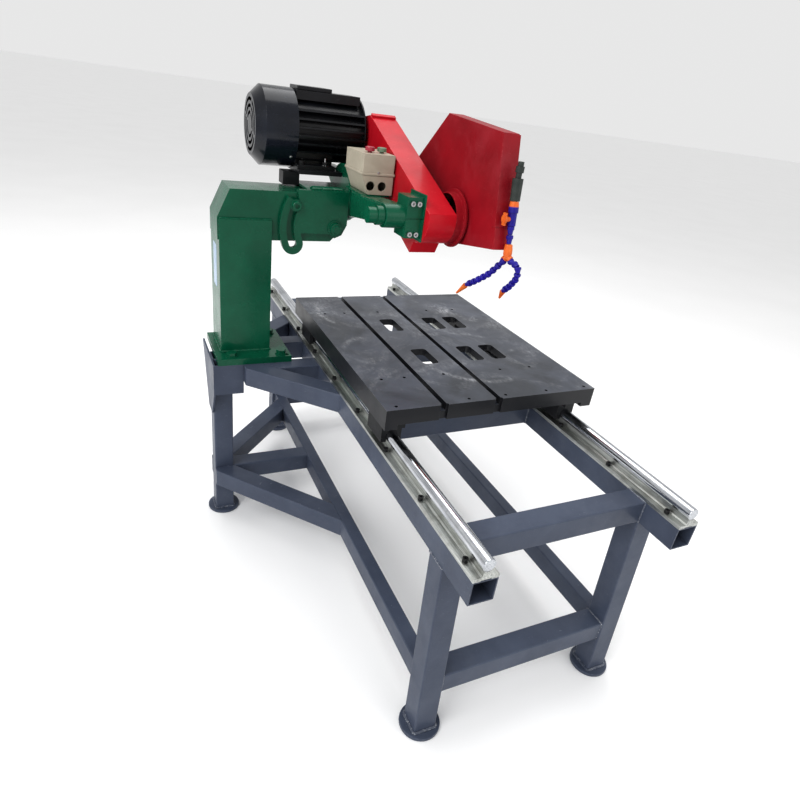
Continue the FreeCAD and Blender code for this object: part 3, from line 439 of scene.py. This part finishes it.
def makeTableIron():
    material = newMaterial("tableIron", metallic=0.1, coat=0.06, shine=0.4)
    dark, lighterToneAndSheen, chalk = linear(44, 48, 56), linear(78, 83, 95), linear(206, 208, 212)
    # the lighter bluish-grey of the clouds is partly random tone and partly a painted reflection of the top's
    # sheen
    cloud = ramp(material, noise(material, 5, 6, 0.6, 0.6), (0.36, 0.0), (0.66, 1.0))
    tone = mixed(material, cloud, dark, lighterToneAndSheen)
    grit = ramp(material, noise(material, 130, 6, 0.75, 0.5, (1, 0.45, 1)), (0.38, 0.0), (0.66, 1.0))
    broken = ramp(material, noise(material, 13, 5, 0.65, 0.3), (0.42, 0.0), (0.62, 1.0))
    haze = ramp(material, noise(material, 4.2, 6, 0.7, 1.2), (0.5, 0.0), (0.78, 0.62))
    marks = math2(material, "MULTIPLY", haze, grit)
    for x, y, radius in tableMarks["smears"]:
        near = ramp(material, distanceFrom(material, x, y), (0.0, 1.0), (radius, 0.0))
        patch = math2(material, "MULTIPLY", math2(material, "MULTIPLY", near, grit), broken)
        marks = math2(material, "ADD", marks, patch)
    for x, y, radius in tableMarks["rings"]:
        width = min(tableMarks["ringWidth"], radius * 0.4)
        away = distanceFrom(material, x, y)
        ring = ramp(material, away, (radius - width, 0.0), (radius, 1.0), (radius + width, 0.0))
        arc = ramp(material, noise(material, 6.5 + 10 * x, 2, 0.5), (0.5, 0.0), (0.6, 1.0))
        patch = math2(material, "MULTIPLY", math2(material, "MULTIPLY", ring, arc), grit)
        marks = math2(material, "ADD", marks, math2(material, "MULTIPLY", patch, 0.5))
    nodes, links = material.node_tree.nodes, material.node_tree.links
    split = nodes.new("ShaderNodeSeparateXYZ")
    links.new(nodes.new("ShaderNodeNewGeometry").outputs["Normal"], split.inputs[0])
    upward = math2(material, "GREATER_THAN", split.outputs["Z"], 0.8)
    marks = math2(material, "MULTIPLY", marks, upward)
    # painted shade: every face that does not point up gets a near-black colour instead of the top's tone
    tone = mixed(material, upward, linear(25, 26, 30), tone)
    tone = mixed(material, math2(material, "MULTIPLY", marks, 0.85), tone, chalk)
    chips = ramp(material, noise(material, 140, 3, 0.6), (0.42, 0.0), (0.6, 1.0))
    wear = math2(material, "MULTIPLY", edges(material, 0.0018), chips)
    tone = mixed(material, math2(material, "MULTIPLY", wear, 0.4), tone, linear(130, 132, 136))
    link(material, tone, "Base Color")
    link(material, ramp(material, noise(material, 8, 6, 0.65), (0.3, 0.26), (0.75, 0.5)), "Roughness")
    bump(material, (noise(material, 260, 3, 0.6), 0.12, 0.0005), (marks, 0.1, 0.0004))
    return material


tableIron = makeTableIron()

# frame: square tube with rolled corners
tubeSpec = {"corner": 0.0042, "segments": 3, "longest": 0.09}
framePieces = {"railTubes": "rail_tubes", "cornerLegs": "corner_legs", "outriggerLeg": "outrigger_leg",
               "topCrossBeams": "top_cross_beams", "lowerCrossBeams": "lower_cross_beams",
               "lowerStretchers": "lower_stretchers", "topDiagonals": "outrigger_top_diagonals",
               "lowDiagonals": "outrigger_low_diagonals", "outriggerStraights": "outrigger_straights"}
for newName, nodeName in framePieces.items():
    piece = nodeCopy(nodeName, newName)
    rounded(piece, tubeSpec["corner"], tubeSpec["segments"], tubeSpec["longest"])
    settle(piece, "frame", framePaint, "frame_paint", nodeName)
print("frame tubes done")

# everything whose machined or pressed shape only needs its edges eased:
# new name: (node, body, finish, slot, edge width)
easedPieces = {
    "footPads": ("foot_pads", "frame", framePaint, "frame_paint", 0.0022),
    "railSupports": ("rail_supports", "frame", railAluminium, "rail_aluminium", 0.0007),
    "railShafts": ("rail_shafts", "frame", shaftChrome, "shaft_chrome", 0.0016),
    "tableTop": ("table_top", "table", tableIron, "table_iron", 0.0014),
    "tableBars": ("table_bars", "table", blackSteel, "black_steel", 0.0012),
    "bearingBlocks": ("bearing_blocks", "table", blackSteel, "black_steel", 0.0014),
    "tableScrews": ("table_screws", "table", blackSteel, "black_steel", 0.0005),
    "columnBasePlate": ("column_base_plate", "frame", greenEnamel, "green_enamel", 0.002),
    "seatGussets": ("seat_gussets", "frame", framePaint, "frame_paint", 0.001),
    "column": ("column", "frame", greenEnamel, "green_enamel", 0.0035),
    "arm": ("arm", "frame", greenEnamel, "green_enamel", 0.0035),
    "tiltBracket": ("tilt_bracket", "bracket", greenEnamel, "green_enamel", 0.002),
    "headStop": ("head_stop", "bracket", blackSteel, "black_steel", 0.0015),
    "trunnion": ("trunnion", "bracket", greenEnamel, "green_enamel", 0.003),
    "bevelPivotBolt": ("bevel_pivot_bolt", "frame", greenEnamel, "green_enamel", 0.0016),
    "motorPlate": ("motor_plate", "head", motorBlack, "motor_black", 0.0015),
    "spindleClamp": ("spindle_clamp", "head", greenEnamel, "green_enamel", 0.0022),
    "spindleHousing": ("spindle_housing", "head", greenEnamel, "green_enamel", 0.0022),
    "bladeFlanges": ("blade_flanges", "spindle", brightSteel, "bright_steel", 0.001),
    "spindlePulley": ("spindle_pulley", "spindle", blackSteel, "black_steel", 0.0006),
    "motorPulley": ("motor_pulley", "rotor", blackSteel, "black_steel", 0.0006),
    "spindleShroud": ("spindle_shroud", "head", guardRed, "guard_red", 0.0008),
    "beltCover": ("belt_cover", "head", coverRed, "cover_red", 0.0012),
    "coverEdgeStrip": ("cover_edge_strip", "head", coverRed, "cover_red", 0.0006),
    "bladeGuard": ("blade_guard", "head", guardRed, "guard_red", 0.0014),
    "motorFrame": ("motor_frame", "head", motorBlack, "motor_black", 0.0009),
    "terminalBoxLid": ("terminal_box_lid", "head", motorBlack, "motor_black", 0.002),
    "motorEndBells": ("motor_end_bells", "head", motorBlack, "motor_black", 0.002),
    "fanCowl": ("fan_cowl", "head", cowlBlackBlueSheen, "motor_black", 0.0012),
    "motorRotor": ("motor_rotor", "rotor", brightSteel, "bright_steel", 0.001),
    "coolingFan": ("cooling_fan", "rotor", fanPlastic, "fan_plastic", 0.0006),
    "driveBelts": ("drive_belts", "head", beltRubber, "belt_rubber", 0.0008),
    "coolantFeedPipe": ("coolant_feed_pipe", "head", hoseGrey, "hose_grey", 0.0008),
    "valveKnob": ("valve_knob", "valve_lever", beadOrange, "bead_orange", 0.0008),
    "coolantNozzles": ("coolant_nozzles", "head", beadOrange, "bead_orange", 0.0006),
}
for newName, (nodeName, body, finish, slotName, width) in easedPieces.items():
    piece = nodeCopy(nodeName, newName)
    rounded(piece, width, 2)
    settle(piece, body, finish, slotName, nodeName)
print("eased pieces done")


# second finish on the faces whose centre passes the test
def partPaint(piece, material, test):
    piece.data.materials.append(material)
    for face in piece.data.polygons:
        if test(face.center):
            face.material_index = 1


# the shaft's left cap is green, and the valve's top ring is orange
twoTone = {"eased": 0.0008, "cap": 0.002, "ring": 0.012}
shaft = nodeCopy("spindle_shaft", "spindleShaft")
rounded(shaft, twoTone["eased"])
settle(shaft, "spindle", brightSteel, "bright_steel", "spindle_shaft")
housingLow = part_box("spindle_housing")[0]
partPaint(shaft, greenEnamel, lambda spot: spot.x < housingLow.x + twoTone["cap"])

valve = nodeCopy("valve_body", "valveBody")
rounded(valve, twoTone["eased"])
settle(valve, "head", beadBlue, "bead_blue", "valve_body")
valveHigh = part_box("valve_body")[1]
partPaint(valve, beadOrange, lambda spot: spot.z > valveHigh.z - twoTone["ring"])

# ball-jointed coolant line: two beads down to the wye and eight along each branch. The routes
# are in millimetres from where the blade's plane meets the spindle's axis
lineOrigin = Vector((0.156, -0.093, 1.107))
beadSpec = {"wide": 0.0086, "neck": 0.0060, "sides": 20}
beadRoutes = (
    (2, ((12, -208, 30), (12, -214, -12))),
    (8, ((4, -221, -50), (-10, -186, -96), (-18, -146, -126), (-22, -112, -147))),
    (8, ((16, -226, -50), (22, -255, -56), (23, -262, -80), (22, -240, -110), (23, -215, -130))),
)


def alongRoute(points, distance):
    for a, b in zip(points, points[1:]):
        length = (b - a).length
        if distance <= length:
            return a + (b - a) * (distance / length)
        distance -= length
    return points[-1]


def makeBeads():
    wide, neck = beadSpec["wide"], beadSpec["neck"]
    bead = turned("bead", (0, 0, 0), (1, 0, 0), [
        (0.02, neck - 0.001), (0.02, wide - 0.0012), (0.07, wide - 0.0002), (0.13, wide), (0.36, wide),
        (0.42, wide - 0.0003), (0.47, wide - 0.0014), (0.56, neck + 0.0009), (0.72, neck + 0.0001),
        (0.98, neck - 0.0004)], beadSpec["sides"])
    places = []
    for count, route in beadRoutes:
        points = [lineOrigin + Vector(spot) / 1000 for spot in route]
        step = sum((b - a).length for a, b in zip(points, points[1:])) / count
        for i in range(count):
            start, end = alongRoute(points, i * step), alongRoute(points, (i + 1) * step)
            turn = (end - start).to_track_quat("X", "Z").to_matrix().to_4x4()
            stretch = Matrix.Diagonal(((end - start).length, 1, 1, 1))
            places.append(Matrix.Translation(start) @ turn @ stretch)
    beads = copyTo(bead, places, "coolantBeads")
    remove(bead)
    smooth(beads)
    return settle(beads, "head", beadBlue, "bead_blue", "coolant_beads")


makeBeads()
top = lineOrigin + Vector((12, -214, -12.5)) / 1000
wye = turned("coolantWye", top, Vector((0, -4, -32)), [
    (0, 0.0070), (0.0006, 0.0090), (0.003, 0.0096), (0.012, 0.0108), (0.022, 0.0110), (0.030, 0.0098),
    (0.0345, 0.0085), (0.039, 0.0062)], 28)
fork = lineOrigin + Vector((11.5, -218, -43)) / 1000
arms = [turned("wyeArm", fork, aim, [(-0.004, 0.004), (0, 0.0078), (0.006, 0.0084), (0.0125, 0.0082),
                                     (0.0135, 0.0070), (0.0135, 0.0050)], 24)
        for aim in (Vector((-9, 8, -14)), Vector((6, -13, -5)))]
selectOnly(wye, *arms)
bpy.ops.object.join()
settle(wye, "head", beadOrange, "bead_orange", "coolant_wye")

# cast swing arm: its skin is soft and slightly uneven
castSpec = {"voxel": 0.0028, "smoothing": 7, "factor": 0.5, "angle": 60}
arm = nodeCopy("swing_arm", "swingArm")
applyModifier(arm, "REMESH", mode="VOXEL", voxel_size=castSpec["voxel"])
applyModifier(arm, "SMOOTH", factor=castSpec["factor"], iterations=castSpec["smoothing"])
smooth(arm, castSpec["angle"])
settle(arm, "head", greenEnamel, "green_enamel", "swing_arm")

# switch box: lid and tapered base
switchSpec = {"corner": 0.0055, "taper": 0.02, "base": 0.008, "longest": 0.03, "near": 0.004,
              "lidShare": 0.12, "baseShare": 0.08}
lid = nodeCopy("switch_lid", "switchLid")
rounded(lid, switchSpec["corner"], 3, switchSpec["longest"], switchSpec["lidShare"])
settle(lid, "head", boxPlastic, "box_plastic", "switch_lid")
base = nodeCopy("switch_box", "switchBase")
low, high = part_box("switch_box")
for vertex in base.data.vertices:
    if vertex.co.z < low.z + switchSpec["near"] and vertex.co.x < low.x + switchSpec["near"]:
        vertex.co.x += switchSpec["taper"]
rounded(base, switchSpec["base"], 4, switchSpec["longest"], switchSpec["baseShare"])
settle(base, "head", boxPlastic, "box_plastic", "switch_box")

buttonSpec = {"head": 0.013, "stem": 0.006, "depth": 0.011}
for nodeName, newName, body, finish, slotName in (
        ("stop_button", "stopButton", "stop_key", stopRed, "stop_red"),
        ("start_button", "startButton", "start_key", startGreen, "start_green")):
    low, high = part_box(nodeName)
    middle = (low + high) / 2
    top, reach, stem, depth = high.z - low.z, buttonSpec["head"], buttonSpec["stem"], buttonSpec["depth"]
    key = turned(newName, (middle.x, middle.y, low.z), (0, 0, 1),
                 [(0, stem), (top - depth, stem), (top - depth, reach - 0.001), (top - depth + 0.001, reach),
                  (top - 0.002, reach), (top - 0.0006, reach - 0.0006), (top, reach - 0.002),
                  (top, reach - 0.0035), (top - 0.0008, reach - 0.005)], 40)
    settle(key, body, finish, slotName, nodeName)

# socket screw that locks the bevel
boltSpec = {"washer": 0.017, "head": 0.013, "socket": 0.0066, "shank": 0.010, "proud": 0.015}
low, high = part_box("bevel_clamp_bolt")
proud = boltSpec["proud"]
spot = ((low.x + high.x) / 2, low.y + proud, (low.z + high.z) / 2)
clampBolt = turned("bevelClampBolt", spot, (0, -1, 0), [
    (-(high.y - low.y - proud), boltSpec["shank"]), (0, boltSpec["shank"]), (0, boltSpec["washer"]),
    (0.0026, boltSpec["washer"]), (0.003, boltSpec["washer"] - 0.0006), (0.003, boltSpec["head"]),
    (0.0138, boltSpec["head"]), (proud, boltSpec["head"] - 0.0012), (proud, boltSpec["socket"]),
    (0.009, boltSpec["socket"])], 48)
settle(clampBolt, "frame", greenEnamel, "green_enamel", "bevel_clamp_bolt")

# weld: one ripply run, copied along every seam
weldSpec = {"length": 0.030, "radius": 0.0028, "sides": 6,
            "swell": (0.55, 1.0, 0.82, 1.04, 0.8, 0.98, 0.84, 1.02, 0.6)}


def makeWeldRun():
    step = weldSpec["length"] / (len(weldSpec["swell"]) - 1)
    stations = [(i * step, weldSpec["radius"] * swell) for i, swell in enumerate(weldSpec["swell"])]
    return turned("weldRun", (0, 0, 0), (1, 0, 0), stations, weldSpec["sides"])


weldRun = makeWeldRun()


def seam(start, end, size=1.0):
    start, end = Vector(start), Vector(end)
    count = max(1, round((end - start).length / weldSpec["length"]))
    step = (end - start) / count
    turn = step.to_track_quat("X", "Z").to_matrix().to_4x4()
    stretch = Matrix.Diagonal((step.length / weldSpec["length"], size, size, 1))
    return [Matrix.Translation(start + step * i) @ turn @ stretch for i in range(count)]


# four seams round an end: centre, two half sides along two axes
def seamRing(centre, first, second, size=1.0):
    centre, a, b = Vector(centre), Vector(first), Vector(second)
    corners = [centre - a - b, centre + a - b, centre + a + b, centre - a + b]
    return [place for i in range(4) for place in seam(corners[i], corners[(i + 1) % 4], size)]


# where the frame's tubes meet: rails across, cross beams and leg tops along, heights
railX, tubeHalf = (-0.119, 0.431), 0.030
frameSeams = {"railLow": 0.531, "beams": (-0.718, -0.233, 0.233, 0.718), "lowBeams": (-0.730, 0.730),
              "lowHeight": 0.155, "legTop": 0.717, "stretcherEnd": 0.7065, "stretcherHalf": 0.020}
railLow, lowHeight = frameSeams["railLow"], frameSeams["lowHeight"]
places = []
for x in (railX[0] + tubeHalf, railX[1] - tubeHalf):
    for y in frameSeams["beams"]:
        places += seamRing((x, y, railLow + tubeHalf), (0, tubeHalf, 0), (0, 0, tubeHalf - 0.0005))
    for y in frameSeams["lowBeams"]:
        places += seamRing((x, y, lowHeight), (0, tubeHalf, 0), (0, 0, tubeHalf))
for x in railX:
    for way in (-1, 1):
        legY, endY = way * frameSeams["legTop"], way * frameSeams["stretcherEnd"]
        places += seamRing((x, legY, railLow), (tubeHalf, 0, 0), (0, tubeHalf, 0))
        places += seamRing((x, endY, lowHeight), (frameSeams["stretcherHalf"], 0, 0), (0, 0, tubeHalf))
welds = copyTo(weldRun, places, "frameWelds")
settle(welds, "frame", weldPaintAndGlints, "frame_paint")
footSpec = {"legY": 0.742, "outrigger": (-0.431, 0.244), "height": 0.0115, "size": 1.9}
feet = [(x, way * footSpec["legY"]) for x in railX for way in (-1, 1)] + [footSpec["outrigger"]]
footHalf = tubeHalf + 0.001
places = [place for x, y in feet for place in seamRing(
    (x, y, footSpec["height"]), (footHalf, 0, 0), (0, footHalf, 0), footSpec["size"])]
footWelds = copyTo(weldRun, places, "footWelds")
settle(footWelds, "frame", weldPaintAndGlints, "frame_paint")

low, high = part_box("column")
middle = (low + high) / 2
columnSeams = {"half": 0.0755, "footSize": 1.7, "armSize": 1.5, "endSize": 1.3, "out": 0.003}
half = columnSeams["half"]
places = seamRing((middle.x, middle.y, low.z + 0.0005), (half, 0, 0), (0, half, 0), columnSeams["footSize"])
armLow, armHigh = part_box("arm")
for y, way in ((armLow.y, -1), (armHigh.y, 1)):
    lineY = y + way * columnSeams["out"]
    places += seam((low.x + 0.002, lineY, high.z), (high.x, lineY, high.z), columnSeams["armSize"])
    places += seam((high.x, y, armLow.z), (high.x, y, high.z), columnSeams["endSize"])
places += seam((high.x, armLow.y, armLow.z), (high.x, armHigh.y, armLow.z), columnSeams["endSize"])
columnWelds = copyTo(weldRun, places, "columnWelds")
settle(columnWelds, "frame", greenEnamel, "green_enamel")

# rough built-up weld on the roof of the tilting bracket, in rows of uneven length
roofSpec = {"rows": 6, "pitch": 0.0062, "first": 0.020, "left": -0.168, "right": -0.068, "uneven": 0.004,
            "rise": 0.0008, "size": 1.55}
low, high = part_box("tilt_bracket")
beadZ = high.z + roofSpec["rise"]
places = []
for row in range(roofSpec["rows"]):
    y = low.y + roofSpec["first"] + row * roofSpec["pitch"]
    inset = roofSpec["uneven"] * (row % 3)
    start, end = (roofSpec["left"] + inset, y, beadZ), (roofSpec["right"] - inset, y, beadZ)
    places += seam(start, end, roofSpec["size"])
roofWelds = copyTo(weldRun, places, "roofWelds")
settle(roofWelds, "bracket", greenEnamel, "green_enamel")
remove(weldRun)
print("welds done")

# front plate folded over the nose of the blade guard
plateSpec = {"top": (-0.248, 1.336), "foot": (-0.286, 1.128), "proud": 0.0012, "lip": 0.016,
             "thick": 0.0022, "wider": 0.003, "shorter": 0.004, "edge": 0.0009, "near": 0.0001}
low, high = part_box("blade_guard")
bpy.ops.object.select_all(action="DESELECT")
bpy.ops.mesh.primitive_plane_add(size=1, location=(0, 0, 0))
cover = bpy.context.active_object
cover.name = cover.data.name = "guardFrontPlate"
plateTop, plateFoot = Vector((0, *plateSpec["top"])), Vector((0, *plateSpec["foot"]))
run = plateFoot - plateTop
outward = Vector((0, run.z, -run.y)).normalized()
across = Vector((1, 0, 0))
middle = across * (low.x + high.x) / 2 + (plateTop + plateFoot) / 2 + outward * plateSpec["proud"]
turnPlate = Matrix((across, run.normalized(), across.cross(run.normalized()))).transposed().to_4x4()
plateWide = high.x - low.x + plateSpec["wider"]
size = Matrix.Diagonal((plateWide, run.length - plateSpec["shorter"], 1, 1))
cover.data.transform(Matrix.Translation(middle) @ turnPlate @ size)
bpy.ops.object.mode_set(mode="EDIT")
for side in (-1, 1):
    bpy.ops.mesh.select_all(action="DESELECT")
    bpy.ops.mesh.select_mode(type="EDGE")
    bpy.ops.object.mode_set(mode="OBJECT")
    for edge in cover.data.edges:
        ends = [cover.data.vertices[i].co for i in edge.vertices]
        edge.select = all(abs(e.x - (middle.x + side * plateWide / 2)) < plateSpec["near"] for e in ends)
    bpy.ops.object.mode_set(mode="EDIT")
    bpy.ops.mesh.extrude_region_move(TRANSFORM_OT_translate={"value": tuple(-outward * plateSpec["lip"])})
bpy.ops.object.mode_set(mode="OBJECT")
applyModifier(cover, "SOLIDIFY", thickness=plateSpec["thick"], offset=0)
applyModifier(cover, "BEVEL", width=plateSpec["edge"], segments=2, limit_method="ANGLE")
selectOnly(cover)
bpy.ops.object.mode_set(mode="EDIT")
bpy.ops.mesh.select_all(action="SELECT")
bpy.ops.mesh.normals_make_consistent(inside=False)
bpy.ops.object.mode_set(mode="OBJECT")
smooth(cover)
settle(cover, "head", guardRed, "guard_red")

# bright stud and nut on the near motor foot, and the screw that holds the cowl
studSpec = {"radius": 0.0032, "rise": 0.0205, "nut": 0.0085, "inset": 0.009}
low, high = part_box("motor_bolts")
inset = studSpec["inset"]
stud = turned("footStud", (high.x - inset, low.y + inset, high.z - inset), (0, 0, 1), [
    (0, studSpec["nut"] + 0.0015), (0.0015, studSpec["nut"] + 0.0015), (0.0016, studSpec["nut"]),
    (0.0076, studSpec["nut"]), (0.0082, studSpec["nut"] - 0.0012), (0.0082, studSpec["radius"]),
    (studSpec["rise"] - 0.0008, studSpec["radius"]), (studSpec["rise"], studSpec["radius"] - 0.0008)], 6)
settle(stud, "head", brightSteel, "bright_steel")
screwSpec = {"angle": 41, "radius": 0.0042, "motorAxis": (-0.211, 0.395, 1.250), "cowlRadius": 0.1085,
             "sunk": 0.0012}
angle = math.radians(screwSpec["angle"])
outside = Vector((0, -math.cos(angle), -math.sin(angle)))
spot = Vector(screwSpec["motorAxis"]) + outside * (screwSpec["cowlRadius"] - screwSpec["sunk"])
screw = turned("cowlScrew", spot, outside, [
    (0, 0.0050), (0.0016, 0.0050), (0.0017, screwSpec["radius"]), (0.0036, screwSpec["radius"] - 0.0006),
    (0.0042, screwSpec["radius"] - 0.0018), (0.0042, 0.0012), (0.0030, 0.0010)], 20)
settle(screw, "head", brightSteel, "bright_steel")
boxScrewSpec = {"x": -0.0325, "z": 1.1845, "sunk": 0.0006}
spot = (boxScrewSpec["x"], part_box("switch_lid")[0].y + boxScrewSpec["sunk"], boxScrewSpec["z"])
screw = turned("boxScrew", spot, (0, -1, 0), [
    (-0.001, 0.0036), (0.0002, 0.0036), (0.0008, 0.0028), (0.0008, 0.001), (0.0002, 0.0008)], 18)
settle(screw, "head", brightSteel, "bright_steel")

# blank label on the side of the column
labelSpec = {"width": 0.056, "height": 0.128, "corner": 0.006, "thick": 0.0004, "sunk": 0.0001,
             "y": 0.298, "z": 0.866}
low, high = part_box("column")
bpy.ops.object.select_all(action="DESELECT")
labelX = low.x - labelSpec["thick"] / 2 + labelSpec["sunk"]
bpy.ops.mesh.primitive_cube_add(size=1, location=(labelX, labelSpec["y"], labelSpec["z"]))
label = bpy.context.active_object
label.name = label.data.name = "columnLabel"
label.scale = (labelSpec["thick"], labelSpec["width"], labelSpec["height"])
applyPlace(label)
labelMesh = bmesh.new()
labelMesh.from_mesh(label.data)
layer = labelMesh.edges.layers.float.new("bevel_weight_edge")
for edge in labelMesh.edges:
    edge[layer] = 1.0 if edge.calc_length() < 2 * labelSpec["thick"] else 0.0
labelMesh.to_mesh(label.data)
labelMesh.free()
applyModifier(label, "BEVEL", width=labelSpec["corner"], segments=5, limit_method="WEIGHT")
smooth(label)
settle(label, "frame", labelPaper, "box_plastic")
print("small pieces done")

# what keeps its CAD shape gets its finish here
keptNodes = {"spindle_bearings": brightSteel, "clamp_screws": brightSteel, "motor_bolts": blackSteel,
             "column_bolts": greenEnamel, "rail_bolts": blackSteel}
for nodeName, finish in keptNodes.items():
    frame["nodes"][nodeName].data.materials.clear()
    frame["nodes"][nodeName].data.materials.append(finish)

# camera, lights, floor
view = {"place": (-0.702278, -1.499504, 1.396239), "turn": (62.0356, -7.0791, -24.2083), "lens": 26.47,
        "sensor": 36, "farthest": 50}
cameraData = bpy.data.cameras.new("viewCamera")
cameraData.lens, cameraData.sensor_width, cameraData.clip_end = view["lens"], view["sensor"], view["farthest"]
camera = bpy.data.objects.new("viewCamera", cameraData)
bpy.context.scene.collection.objects.link(camera)
camera.location = view["place"]
camera.rotation_euler = [math.radians(a) for a in view["turn"]]
bpy.context.scene.camera = camera

lampAim = Vector((0, 0, 0.7))
lamps = {
    "keyLamp": {"place": (-3.2, -1.6, 3.4), "size": 2.4, "power": 105},
    "fillLamp": {"place": (2.8, -3.4, 2.4), "size": 3.0, "power": 34},
    "topLamp": {"place": (0.3, 1.2, 4.2), "size": 3.0, "power": 80},
}
for lampName, spec in lamps.items():
    lampData = bpy.data.lights.new(lampName, "AREA")
    lampData.size, lampData.energy = spec["size"], spec["power"]
    lamp = bpy.data.objects.new(lampName, lampData)
    bpy.context.scene.collection.objects.link(lamp)
    lamp.location = spec["place"]
    lamp.rotation_euler = (lampAim - lamp.location).to_track_quat("-Z", "Y").to_euler()

studio = {"floorSize": 160, "floorTones": (0.93, 0.95), "strength": 0.82, "gamma": 0.9}
bpy.ops.mesh.primitive_plane_add(size=studio["floorSize"], location=(0, 0, 0))
floor = bpy.context.active_object
floor.name = "floor"
floorPaint = newMaterial("floorPaint", roughness=0.9)
darkTone, paleTone = studio["floorTones"]
floorTone = ramp(floorPaint, noise(floorPaint, 1.5, 3, 0.5), (0.3, darkTone), (0.7, paleTone))
link(floorPaint, floorTone, "Base Color")
floor.data.materials.append(floorPaint)

world = bpy.data.worlds.new("studio")
bpy.context.scene.world = world
world.use_nodes = True
background = world.node_tree.nodes["Background"]
background.inputs["Color"].default_value = (1, 1, 1, 1)
background.inputs["Strength"].default_value = studio["strength"]
bpy.context.scene.view_settings.view_transform = "Standard"
bpy.context.scene.view_settings.gamma = studio["gamma"]
